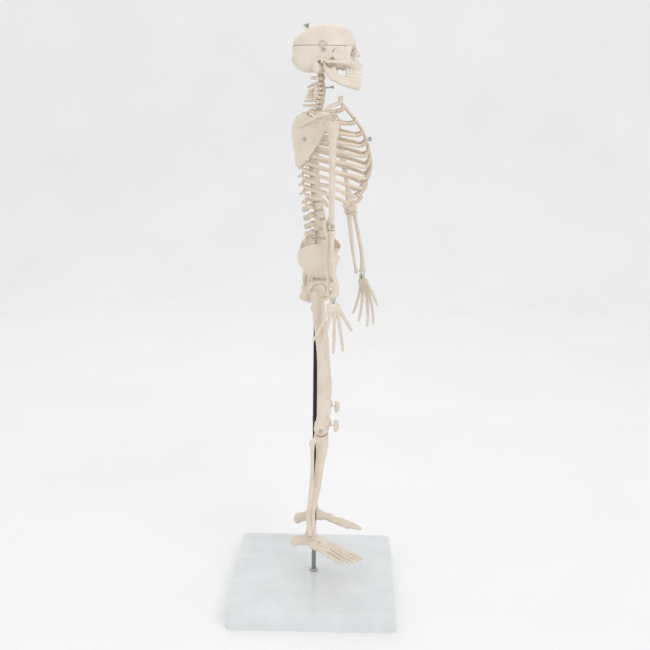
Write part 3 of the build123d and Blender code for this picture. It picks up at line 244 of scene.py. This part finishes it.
class Paint:
    """A node material with short ways to add the nodes used here."""

    def __init__(self, name):
        self.material = bpy.data.materials.new(name)
        self.material.use_nodes = True
        self.tree = self.material.node_tree
        self.shader = self.tree.nodes["Principled BSDF"]
        self.place = self.new("ShaderNodeTexCoord").outputs["Object"]

    def new(self, kind, **values):
        node = self.tree.nodes.new(kind)
        for key, value in values.items():
            if hasattr(node, key):
                setattr(node, key, value)
            else:
                node.inputs[key].default_value = value
        return node

    def link(self, start, end):
        self.tree.links.new(start, end)

    def noise(self, scale, detail=4.0, stretch=(1, 1, 1), roughness=0.55):
        mapping = self.new("ShaderNodeMapping")
        mapping.inputs["Scale"].default_value = stretch
        self.link(self.place, mapping.inputs["Vector"])
        node = self.new("ShaderNodeTexNoise", Scale=scale, Detail=detail, Roughness=roughness)
        self.link(mapping.outputs["Vector"], node.inputs["Vector"])
        return node.outputs["Fac"]

    def ramp(self, value, *stops):
        node = self.new("ShaderNodeValToRGB")
        band = node.color_ramp
        while len(band.elements) < len(stops):
            band.elements.new(0.5)
        for element, (spot, colour) in zip(band.elements, stops):
            element.position = spot
            element.color = (*colour, 1) if len(colour) == 3 else colour
        self.link(value, node.inputs["Fac"])
        return node.outputs["Color"]

    def mix(self, share, a, b, mode="MIX"):
        node = self.new("ShaderNodeMix", data_type="RGBA", blend_type=mode)
        for source, socket in ((share, node.inputs[0]), (a, node.inputs[6]), (b, node.inputs[7])):
            if hasattr(source, "is_linked"):
                self.link(source, socket)
            else:
                socket.default_value = source if isinstance(source, float) else (*source, 1)
        return node.outputs[2]

    def level(self, value, low, high):
        """Maps 0..1 to low..high."""
        node = self.new("ShaderNodeMapRange")
        node.inputs["To Min"].default_value = low
        node.inputs["To Max"].default_value = high
        self.link(value, node.inputs["Value"])
        return node.outputs["Result"]

    def bump(self, *layers):
        """Bump from (height, strength, distance in metres) layers."""
        before = None
        for height, strength, distance in layers:
            node = self.new("ShaderNodeBump", Strength=strength, Distance=distance)
            self.link(height, node.inputs["Height"])
            if before is not None:
                self.link(before, node.inputs["Normal"])
            before = node.outputs["Normal"]
        self.link(before, self.shader.inputs["Normal"])


def bone_paint(name, light, deep, roughness=0.42):
    """Ivory plastic with a fine cast-in grain: painted tan shade darkens the hollows, and edges are paler.
    """
    paint = Paint(name)
    cloud = paint.ramp(paint.noise(38, 5), (0.36, deep), (0.62, light))
    speck = paint.ramp(paint.noise(420, 3), (0.40, (0.90, 0.88, 0.85)), (0.60, (1, 1, 1)))
    toned = paint.mix(0.35, light, cloud)
    grained = paint.mix(0.30, toned, speck, "MULTIPLY")
    point = paint.new("ShaderNodeNewGeometry").outputs["Pointiness"]
    # Painted shade: concave spots (low pointiness) are mixed towards a darker tan.
    hollow = paint.ramp(point, (0.43, (1, 1, 1)), (0.495, (0, 0, 0)))
    hollow_shade_colour = tuple(c * k for c, k in zip(deep, (0.74, 0.66, 0.56)))
    grain_and_hollow_shade = paint.mix(paint.level(hollow, 0.0, 0.75), grained, hollow_shade_colour)
    edge = paint.ramp(point, (0.51, (0, 0, 0)), (0.60, (1, 1, 1)))
    pale = tuple(min(1.0, c * 1.08) for c in light)
    paint.link(paint.mix(paint.level(edge, 0.0, 0.5), grain_and_hollow_shade, pale), paint.shader.inputs["Base Color"])
    paint.link(paint.level(paint.noise(160, 3), roughness - 0.08, roughness + 0.10),
               paint.shader.inputs["Roughness"])
    paint.shader.inputs["Subsurface Weight"].default_value = 0.08
    paint.shader.inputs["Subsurface Scale"].default_value = 0.002
    paint.bump((paint.noise(900, 4), 0.16, 0.0004), (paint.noise(150, 4), 0.22, 0.0010))
    return paint.material


def metal_paint(name, colour, roughness, grain=(1, 1, 0.04)):
    """Drawn or plated steel: fine lines along the grain and cloudy dull patches."""
    paint = Paint(name)
    lines = paint.noise(1500, 3, stretch=grain)
    patches = paint.noise(70, 4)
    dark = tuple(c * 0.62 for c in colour)
    tone = paint.mix(paint.level(patches, 0.0, 0.55), colour, dark)
    paint.link(paint.mix(paint.level(lines, 0.0, 0.35), tone, dark), paint.shader.inputs["Base Color"])
    paint.link(paint.level(patches, roughness - 0.08, roughness + 0.14), paint.shader.inputs["Roughness"])
    paint.shader.inputs["Metallic"].default_value = 1.0
    paint.bump((lines, 0.12, 0.0002))
    return paint.material


def base_paint():
    """Glossy cool white moulding with a faint orange peel and a little dust."""
    paint = Paint("white_base")
    dust = paint.ramp(paint.noise(26, 5), (0.40, (0.735, 0.765, 0.775)), (0.66, (0.79, 0.82, 0.83)))
    speck = paint.ramp(paint.noise(700, 2), (0.33, (0.70, 0.72, 0.72)), (0.42, (1, 1, 1)))
    paint.link(paint.mix(0.10, dust, speck, "MULTIPLY"), paint.shader.inputs["Base Color"])
    paint.link(paint.level(paint.noise(60, 4), 0.16, 0.30), paint.shader.inputs["Roughness"])
    paint.shader.inputs["Coat Weight"].default_value = 0.35
    paint.shader.inputs["Coat Roughness"].default_value = 0.12
    paint.bump((paint.noise(230, 2), 0.07, 0.0006))
    return paint.material


def rubber_paint():
    paint = Paint("rubber_feet")
    tone = paint.ramp(paint.noise(220, 5), (0.35, (0.018, 0.018, 0.019)), (0.70, (0.05, 0.05, 0.052)))
    paint.link(tone, paint.shader.inputs["Base Color"])
    paint.link(paint.level(paint.noise(140, 3), 0.62, 0.85), paint.shader.inputs["Roughness"])
    paint.bump((paint.noise(1300, 3), 0.3, 0.0003))
    return paint.material


def rod_paint():
    """The stand rod, with a painted reflection in its colour: bright near its foot, dark above where it
    mirrors the room's dark side.
    """
    paint = Paint("stand_rod")
    lines = paint.noise(1500, 3, stretch=(1, 1, 0.04))
    split = paint.new("ShaderNodeSeparateXYZ")
    paint.link(paint.place, split.inputs["Vector"])
    # Painted reflection: the base colour runs by height from bright grey at the foot to near black above.
    height = paint.ramp(split.outputs["Z"], (0.07, (0.36, 0.38, 0.36)), (0.13, (0.045, 0.038, 0.032)))
    reflection_and_grain = paint.mix(paint.level(lines, 0.0, 0.4), height, (0.03, 0.027, 0.024))
    paint.link(reflection_and_grain, paint.shader.inputs["Base Color"])
    paint.link(paint.level(paint.noise(70, 4), 0.22, 0.42), paint.shader.inputs["Roughness"])
    paint.shader.inputs["Metallic"].default_value = 0.85
    paint.bump((lines, 0.12, 0.0002))
    return paint.material


BONE = bone_paint("bone", (0.80, 0.715, 0.615), (0.62, 0.50, 0.375))
SKULL_BONE = bone_paint("skull_bone", (0.825, 0.755, 0.665), (0.68, 0.575, 0.46), 0.38)
RIB_BONE = bone_paint("rib_bone", (0.80, 0.71, 0.60), (0.64, 0.49, 0.32))
CARTILAGE = bone_paint("cartilage", (0.70, 0.605, 0.50), (0.52, 0.42, 0.31), 0.52)
TOOTH = bone_paint("tooth", (0.88, 0.84, 0.75), (0.72, 0.62, 0.47), 0.22)
ROD_STEEL = metal_paint("rod_steel", (0.56, 0.56, 0.55), 0.22)
PLATED_STEEL = metal_paint("plated_steel", (0.60, 0.61, 0.57), 0.30, (1, 1, 1))


def paint_cad_nodes():
    """Gives each CAD node that stays in sight its own node material."""
    kept = {"base_plate": base_paint(), "base_feet": rubber_paint(), "stand_rod": rod_paint(),
            "spine_rod": ROD_STEEL}
    for name, thing in frame["nodes"].items():
        thing.data.materials.clear()
        thing.data.materials.append(kept.get(name, PLATED_STEEL))


# ---------------------------------------------------------------- helpers for bones


def block(low, high):
    """A box between two corners."""
    low, high = np.array(low, float), np.array(high, float)
    middle, half = (low + high) / 2, np.abs(high - low) / 2

    def field(x, y, z):
        q = [np.abs(v - m) - h for v, m, h in zip((x, y, z), middle, half)]
        outside = np.sqrt(sum(np.maximum(v, 0) ** 2 for v in q))
        return outside + np.minimum(np.maximum(np.maximum(q[0], q[1]), q[2]), 0)

    return np.minimum(low, high), np.maximum(low, high), field


def twin(points, quads):
    """The mirror image across the skeleton's middle plane."""
    return points * np.array([-1, 1, 1]), quads[:, ::-1]


def islands(node):
    """Corner points of each separate solid of a CAD node, in millimetres, top first."""
    mesh = frame["nodes"][node].data
    points = np.array([v.co for v in mesh.vertices]) * MM
    edges = np.array([e.vertices for e in mesh.edges])
    keys = np.round(points, 3)
    _, label = np.unique(keys, axis=0, return_inverse=True)
    label = label.reshape(-1).copy()
    while True:
        lowest = np.minimum(label[edges[:, 0]], label[edges[:, 1]])
        fresh = label.copy()
        np.minimum.at(fresh, label[edges[:, 0]], lowest)
        np.minimum.at(fresh, label[edges[:, 1]], lowest)
        grain_and_hollow_shade = fresh[label]
        if (grain_and_hollow_shade == label).all():
            break
        label = grain_and_hollow_shade
    groups = [points[label == k] for k in np.unique(label)]
    return sorted(groups, key=lambda g: -g[:, 2].mean())


def simple_bone(node, body, voxel=0.55, spread=0.7, swell=0.1, material=BONE):
    """A bone that is its CAD solid, softened and a little swollen."""
    clay = clay_of(node, voxel)
    clay.grow(swell)
    finish_clay(clay, node + "_bone", body, [node], material, spread=spread)


def pair_of(node, bodies, voxel=0.55, spread=0.7, swell=0.1, shapes=()):
    """The left bone and its mirror image; node and bodies are named without their side."""
    clay = clay_of(node + "_left", voxel)
    for shape, blend in shapes:
        clay.add(shape, blend)
    clay.grow(swell)
    points, quads = clay.soften(spread).mesh()
    sides = {"left": (points, quads), "right": twin(points, quads)}
    for side, (corner_points, faces) in sides.items():
        name = f"{node}_{side}"
        body = bodies if bodies == "trunk" else f"{bodies}_{side}"
        piece(name + "_bone", corner_points, faces, body, [name], BONE)


# ---------------------------------------------------------------- skull


JAW = place("jaw_open")
TEETH_PER_JAW = 14


ARCH_BACK = 27.5  # how far in front of the jaw axis the middle of the tooth arch lies


def tooth_places(front, half_width):
    """Offset of each tooth from the jaw axis and how far round the arch it stands."""
    for k in range(TEETH_PER_JAW):
        turn = math.radians(-80 + 160 * k / (TEETH_PER_JAW - 1))
        yield half_width * math.sin(turn), ARCH_BACK + (front - ARCH_BACK) * math.cos(turn), abs(turn)


def build_teeth(name, body, front, half_width, root_up, tip_up):
    """A row of crowns, narrow at the gum and wider at the biting edge."""
    low = off(JAW, -20, front + 3, min(root_up, tip_up) - 1)
    high = off(JAW, 20, ARCH_BACK - 3, max(root_up, tip_up) + 1)
    clay = Clay(np.minimum(low, high), np.maximum(low, high), 0.28)
    for x, ahead, turn in tooth_places(front, half_width):
        wide = 1.48 + 0.85 * turn
        lean = 0.5 if turn < 0.5 else 0.0
        root, tip = off(JAW, x * 0.97, ahead - 0.7, root_up), off(JAW, x, ahead + lean, tip_up)
        clay.add(cone(root, tip, wide * 0.92, wide), 0.1)
    points, quads = clay.soften(0.22).mesh()
    piece(name, points, quads, body, [], TOOTH)


def build_skull_base():
    clay = clay_of("skull_base", 0.5, room=3)
    top = corners("skull_base")[1][2]
    gum = 8.4
    clay.cut(block(off(JAW, -25, 60, -gum - 8), off(JAW, 25, 26, -gum - 0.4)), 0.4)
    for s in (1, -1):
        clay.add(cone(off(JAW, s * 4, 34.0, 20.5), off(JAW, s * 20, 30.5, 20.0), 3.2, 2.6), 4.0)
        clay.add(egg(off(JAW, s * 21.5, 31.0, 0.5), (5.2, 6.0, 4.6)), 3.0)
        clay.add(cone(off(JAW, s * 25.0, 30.5, 2.0), off(JAW, s * 25.0, 30.5, 19.0), 2.4, 2.6), 2.5)
        clay.add(cone(off(JAW, s * 24.5, 28.0, 0.0), off(JAW, s * 29.6, 14.0, 1.0), 2.4, 1.7), 2.0)
        clay.add(egg(off(JAW, s * 23.5, -9.5, -6.5), (4.4, 5.6, 7.6)), 3.0)
        clay.add(cone(off(JAW, s * 7, -4.0, -12.6), off(JAW, s * 8.5, -8.5, -12.4), 3.0, 2.8), 1.5)
        clay.add(cone(off(JAW, s * 9.5, 20.0, -2.0), off(JAW, s * 10.5, 17.0, -11.0), 1.6, 1.1), 1.5)
        clay.add(egg(off(JAW, s * 17.5, 21.0, 10.5), (11.0, 16.0, 14.0)), 2.0)
        clay.add(cone(off(JAW, s * 12.0, 24.0, -2.0), off(JAW, s * 14.0, 26.0, 6.0), 5.0, 7.0), 2.0)
        clay.cut(egg(off(JAW, s * 32.5, 19.5, 11.0), (6.6, 10.0, 10.0)), 3.0)
        clay.cut(cone(off(JAW, s * 33, -5.8, 1.0), off(JAW, s * 24, -6.2, 0.4), 1.7), 0.8)
        clay.cut(egg(off(JAW, s * 14.4, 39.5, 12.6), (8.6, 11.0, 7.4)), 1.2)
        clay.cut(cone(off(JAW, s * 11, 46.0, 2.5), off(JAW, s * 10.4, 38.0, 2.8), 0.8), 0.4)
    clay.add(cone(off(JAW, 0, 37.5, 20.0), off(JAW, 0, 45.4, 10.5), 3.4, 2.3), 2.2)
    for s in (1, -1):
        clay.add(cone(off(JAW, s * 3.4, 43.0, 12.0), off(JAW, s * 7.2, 41.0, 4.0), 2.2, 2.2), 1.6)
        clay.add(cone(off(JAW, s * 7.2, 41.0, 4.0), off(JAW, s * 4.0, 45.5, -4.5), 2.2, 2.0), 1.6)
    clay.add(egg(off(JAW, 0, 33.0, 12.0), (4.2, 11.0, 9.0)), 1.5)
    clay.add(egg(off(JAW, 0, 35.5, -4.0), (13.4, 13.0, 6.2)), 2.0)
    clay.add(egg(off(JAW, 0, -20.5, 2.0), (25.0, 22.6, 15.0)), 5.0)
    clay.add(egg(off(JAW, 0, -41.0, 5.0), (6.0, 2.2, 3.5)), 4.0)
    clay.cut(cone(off(JAW, 0, 54.0, -0.6), off(JAW, 0, 36.0, 0.5), 4.2, 3.2), 0.8)
    clay.cut(cone(off(JAW, 0, 54.0, 4.6), off(JAW, 0, 36.0, 5.0), 2.7, 2.2), 0.8)
    clay.add(cone(off(JAW, 0, 42.5, -5.2), off(JAW, 0, 47.2, -4.4), 1.5, 0.8), 1.0)
    clay.add(cone(off(JAW, 0, 38.0, -4.0), off(JAW, 0, 38.5, 7.0), 0.7), 0.4)
    for x, ahead, turn in tooth_places(51.0, 14.0):
        root = 1.5 + 0.7 * turn
        clay.add(cone(off(JAW, x * 0.93, ahead - 1.4, -2.5), off(JAW, x * 0.97, ahead - 0.7, -gum),
                      root + 0.6, root), 1.4)
    clay.cut(slab(top), 0.2)
    clay.soften(0.55).cut(slab(top), 0.2)
    points, quads = clay.mesh()
    piece("skull_base_bone", points, quads, "skull", ["skull_base"], SKULL_BONE)
    build_teeth("upper_teeth", "skull", 51.4, 14.2, -gum, -13.2)


def build_calvaria():
    clay = clay_of("calvaria", 0.6, room=3)
    low, _ = corners("calvaria")
    clay.add(egg(off(JAW, 0, 17.5, 22.0), (27.5, 24.6, 26.0)), 3.0)
    clay.add(egg(off(JAW, 0, 2.0, 19.0), (29.5, 37.5, 31.4)), 4.0)
    clay.cut(egg(off(JAW, 0, 2.0, 18.5), (27.4, 35.6, 29.2)), 1.5)
    rim = low[2] - 0.12
    clay.soften(0.6).cut(slab(rim, keep_low=False), 0.2)
    points, quads = clay.mesh()
    piece("calvaria_bone", points, quads, "skull_cap", ["calvaria"], SKULL_BONE)


def build_mandible():
    clay = clay_of("mandible", 0.5, room=2)
    clay.cut(block(off(JAW, -25, 60, -20.6), off(JAW, 25, 33.0, -10)), 0.4)
    clay.add(egg(off(JAW, 0, 45.2, -31.0), (8.0, 4.4, 5.4)), 3.0)
    for s in (1, -1):
        clay.add(cone(off(JAW, s * 9.5, 41.5, -23.0), off(JAW, s * 16.5, 31.0, -21.0), 2.6, 2.2), 2.0)
        clay.cut(cone(off(JAW, s * 14, 40.5, -26.5), off(JAW, s * 11, 38.0, -26.5), 0.8), 0.4)
        for ahead, up in ((4.0, -7.5), (7.5, -9.0), (11.0, -8.5)):
            clay.add(cone(off(JAW, s * 23.6, ahead, up), off(JAW, s * 22.9, ahead + 6.5, -21.5), 2.1, 2.5),
                     2.0)
    for x, ahead, turn in tooth_places(49.4, 13.3):
        root = 1.5 + 0.7 * turn
        clay.add(cone(off(JAW, x * 0.97, ahead - 1.0, -26.0), off(JAW, x * 0.98, ahead - 0.6, -20.6),
                      root + 0.5, root), 1.5)
    clay.soften(0.6)
    points, quads = clay.mesh()
    piece("mandible_bone", points, quads, "jaw", ["mandible"], SKULL_BONE)
    build_teeth("lower_teeth", "jaw", 49.5, 13.3, -20.4, -15.6)


# ---------------------------------------------------------------- trunk


def build_vertebrae(node, knob, spread, swell=0.12, extra=()):
    """A run of vertebrae, with the four joint knobs of each added to its arch."""
    clay = clay_of(node, 0.5)
    for points in islands(node):
        middle = (points.min(0) + points.max(0)) / 2
        front = points[:, 1].min()
        depth = points[:, 1].max() - front
        for s in (1, -1):
            seat = np.array([s * knob * 2.2, front + depth * 0.42, middle[2]])
            clay.add(cone(seat - (0, 0, knob * 1.5), seat + (0, -0.6, knob * 1.7), knob * 0.8, knob * 0.7),
                     1.2)
    for shape in extra:
        clay.add(shape, 1.0)
    clay.grow(swell)
    finish_clay(clay, node + "_bone", "trunk", [node], BONE, spread=spread)


def rib_start(points):
    """Centre of a rib's end beside the spine."""
    back = points[points[:, 1] > points[:, 1].max() - 14]
    nearest = back[:, 0].min()
    return back[back[:, 0] < nearest + 0.8].mean(0)


def build_ribs():
    clay = clay_of("ribs_left", 0.5, room=12)
    for points in islands("ribs_left"):
        start = rib_start(points)
        neck = start + (-4.5, -3.0, 1.0)
        clay.add(cone(start, neck, 1.9, 1.7), 1.0)
        clay.add(cone(neck, start + (-8.8, -6.4, 1.6), 1.7, 2.3), 1.0)
        clay.add(cone(start - (0.5, 0, 0), start + (1.5, 0.6, -0.2), 2.3, 2.0), 1.5)
    clay.grow(0.45)
    points, quads = clay.soften(0.45).mesh()
    piece("ribs_left_bone", points, quads, "trunk", ["ribs_left"], RIB_BONE)
    points, quads = twin(points, quads)
    piece("ribs_right_bone", points, quads, "trunk", ["ribs_right"], RIB_BONE)


def build_trunk():
    neck = place("head_turn")
    atlas = corners("cervical_vertebrae")[1][2]
    peg = cone((neck[0], neck[1], atlas - 2.0), (neck[0], neck[1], atlas + 3.4), 4.6, 3.8)
    build_vertebrae("cervical_vertebrae", 3.1, 0.45, 0.55, [peg])
    build_vertebrae("thoracic_vertebrae", 2.8, 0.5, 0.35)
    build_vertebrae("lumbar_vertebrae", 3.8, 0.6, 0.5)
    build_ribs()
    simple_bone("sternum", "trunk", spread=0.8, swell=0.2)
    simple_bone("sacrum", "trunk", spread=0.9, swell=0.2)
    simple_bone("cartilage_discs", "trunk", spread=0.4, material=CARTILAGE)
    simple_bone("costal_cartilages", "trunk", spread=0.7, swell=0.5, material=CARTILAGE)
    pair_of("clavicle", "trunk", spread=0.8, swell=0.2)
    pair_of("scapula", "trunk", spread=0.7, swell=0.15)
    pair_of("hip_bone", "trunk", voxel=0.6, spread=0.9, swell=0.2)


# ---------------------------------------------------------------- limbs


def tibia_extras():
    """The outer shelf under the knee that the fibula's head rests against."""
    points = np.concatenate(islands("fibula_left"))
    head = points[points[:, 2] > points[:, 2].max() - 3.0].mean(0)
    shelf = off(place("knee_left"), 5.0, -1.5, -15.0)
    return [(cone(shelf, (head + shelf) / 2 + (1.5, 0, 1.0), 6.0, 3.6), 4.0),
            (cone(shelf, head + (0, 0, 0.5), 4.0, 2.4), 3.0)]


def femur_extras():
    """A stouter shaft and the bulge of the greater trochanter."""
    hip, knee = place("hip_swing_left"), place("knee_left")
    top, middle, low = off(hip, 13, -1.5, -26), off(hip, 10, 7.0, -95), off(knee, 0, 4.5, 24)
    return [
        (cone(top, middle, 6.2, 6.2), 3.0), (cone(middle, low, 6.2, 9.4), 3.0),
        (egg(off(knee, 0, 5.5, 7.0), (10.5, 9.0, 9.5)), 3.0),
        (egg(off(hip, 17, -3.0, -6.0), (4.6, 5.6, 7.0)), 3.0),
    ]


def wire(name, points, radius, body):
    """A bent steel wire through points, as a smooth curve."""
    curve = bpy.data.curves.new(name, "CURVE")
    curve.dimensions = "3D"
    curve.bevel_depth, curve.bevel_resolution = radius / MM, 3
    line = curve.splines.new("NURBS")
    line.points.add(len(points) - 1)
    for point, spot in zip(line.points, points):
        point.co = (*(np.array(spot) / MM), 1)
    line.use_endpoint_u, line.order_u = True, 3
    curve.materials.append(PLATED_STEEL)
    thing = bpy.data.objects.new(name, curve)
    bpy.context.scene.collection.objects.link(thing)
    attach(thing, body)


def ring(centre, radius, axis):
    """Points of a closed loop of wire round a direction."""
    axis = np.array(axis, float) / np.linalg.norm(axis)
    side = np.cross(axis, (0.3, 0.5, 0.81))
    side /= np.linalg.norm(side)
    other = np.cross(axis, side)
    turns = [2 * math.pi * k / 12 for k in range(13)]
    return [centre + radius * (side * math.cos(t) + other * math.sin(t)) for t in turns]


def build_wires():
    for side, s in (("left", 1), ("right", -1)):
        knee, wrist, shoulder = (place(f"{joint}_{side}") for joint in ("knee", "wrist", "shoulder_swing"))
        wire(f"kneecap_wire_{side}", [off(knee, 0, 6, 2.6), off(knee, 0, 13, 3.2), off(knee, 0, 19, 2.6)],
             0.6, f"thigh_{side}")
        eye = off(shoulder, s * 6.5, 2.0, 10.5)
        wire(f"shoulder_eye_{side}", ring(eye, 2.1, (1, 0, 0)), 0.55, "trunk")
        wire(f"shoulder_shank_{side}", [eye + (0, 0, -2.0), eye + (-s * 1.0, 0, -7.5)], 0.6, "trunk")
        for k, shift in enumerate((-2.6, 2.4)):
            wire(f"wrist_loop_{k}_{side}", ring(off(wrist, s * 0.5, shift, 3.0), 2.2, (0.6, 1, 0.3)), 0.45,
                 f"forearm_{side}")


def build_limbs():
    pair_of("femur", "thigh", voxel=0.6, spread=0.8, swell=0.3, shapes=femur_extras())
    pair_of("patella", "thigh", spread=0.7, swell=1.0)
    pair_of("tibia", "shin", voxel=0.6, spread=0.8, swell=0.3, shapes=tibia_extras())
    pair_of("fibula", "shin", spread=0.6, swell=0.5)
    pair_of("foot", "foot", spread=0.45, swell=0.45)
    for side in ("left", "right"):
        simple_bone(f"humerus_{side}", f"upper_arm_{side}", voxel=0.6, spread=0.8, swell=0.1)
        simple_bone(f"ulna_{side}", f"forearm_{side}", spread=0.6, swell=0.3)
        simple_bone(f"radius_{side}", f"forearm_{side}", spread=0.6, swell=0.3)
        simple_bone(f"hand_{side}", f"hand_{side}", voxel=0.45, spread=0.4, swell=0.4)


# ---------------------------------------------------------------- studio


def build_floor():
    """A pale sweep that curves up behind the object."""
    mesh = bpy.data.meshes.new("floor")
    depth, rise, radius, steps = 3.2, 3.0, 1.2, 16
    profile = [(-3.0, 0.0), (depth - radius, 0.0)]
    for k in range(1, steps + 1):
        turn = math.pi / 2 * k / steps
        profile.append((depth - radius + radius * math.sin(turn), radius - radius * math.cos(turn)))
    profile.append((depth, rise))
    corner_points = [(x, y, z) for x, z in profile for y in (-5.0, 5.0)]
    faces = [(2 * k, 2 * k + 1, 2 * k + 3, 2 * k + 2) for k in range(len(profile) - 1)]
    mesh.from_pydata(corner_points, [], faces)
    mesh.polygons.foreach_set("use_smooth", [True] * len(faces))
    paint = Paint("floor")
    tone = paint.ramp(paint.noise(3, 3), (0.3, (0.95, 0.95, 0.95)), (0.7, (0.98, 0.98, 0.98)))
    paint.link(tone, paint.shader.inputs["Base Color"])
    paint.shader.inputs["Roughness"].default_value = 0.75
    mesh.materials.append(paint.material)
    floor = bpy.data.objects.new("floor", mesh)
    bpy.context.scene.collection.objects.link(floor)


def area_light(name, spot, target, size, power, colour=(1, 1, 1)):
    light = bpy.data.lights.new(name, "AREA")
    light.shape = "SQUARE"
    light.size, light.energy, light.color = size, power, colour
    thing = bpy.data.objects.new(name, light)
    thing.location = spot
    thing.rotation_euler = (Vector(target) - Vector(spot)).to_track_quat("-Z", "Y").to_euler()
    bpy.context.scene.collection.objects.link(thing)


def build_light():
    world = bpy.data.worlds.new("studio")
    world.use_nodes = True
    background = world.node_tree.nodes["Background"]
    background.inputs["Color"].default_value = (1, 1, 1, 1)
    background.inputs["Strength"].default_value = 0.80
    bpy.context.scene.world = world
    area_light("key", (-1.6, -1.1, 1.9), (0, 0, 0.5), 1.1, 11)
    area_light("fill", (-1.2, 1.5, 0.9), (0, 0, 0.4), 1.6, 2)
    area_light("back", (1.4, 0.4, 2.0), (0, 0, 0.5), 1.6, 5)
    bpy.context.scene.view_settings.view_transform = "Standard"


# The camera stands to the skeleton's right, about as high as its jaw, and looks down; angles in degrees
CAMERA_PLACE = (-1.4161, -0.0445, 0.7458)
CAMERA_YAW, CAMERA_PITCH, CAMERA_ROLL = 1.27, 13.33, 0.63
CAMERA_LENS = 56.4


def build_camera():
    camera = bpy.data.cameras.new("camera")
    camera.lens, camera.sensor_width = CAMERA_LENS, 36.0
    camera.clip_start, camera.clip_end = 0.05, 20
    yaw, pitch, roll = (math.radians(a) for a in (CAMERA_YAW, CAMERA_PITCH, CAMERA_ROLL))
    ahead = Vector((math.cos(yaw) * math.cos(pitch), math.sin(yaw) * math.cos(pitch), -math.sin(pitch)))
    right = ahead.cross(Vector((0, 0, 1))).normalized()
    up = right.cross(ahead)
    right, up = right * math.cos(roll) + up * math.sin(roll), up * math.cos(roll) - right * math.sin(roll)
    thing = bpy.data.objects.new("camera", camera)
    turn = Matrix((right, up, -ahead)).transposed().to_4x4()
    thing.matrix_world = Matrix.Translation(CAMERA_PLACE) @ turn
    bpy.context.scene.collection.objects.link(thing)
    bpy.context.scene.camera = thing


paint_cad_nodes()
build_skull_base()
build_calvaria()
build_mandible()
build_trunk()
build_limbs()
build_wires()
build_floor()
build_light()
build_camera()
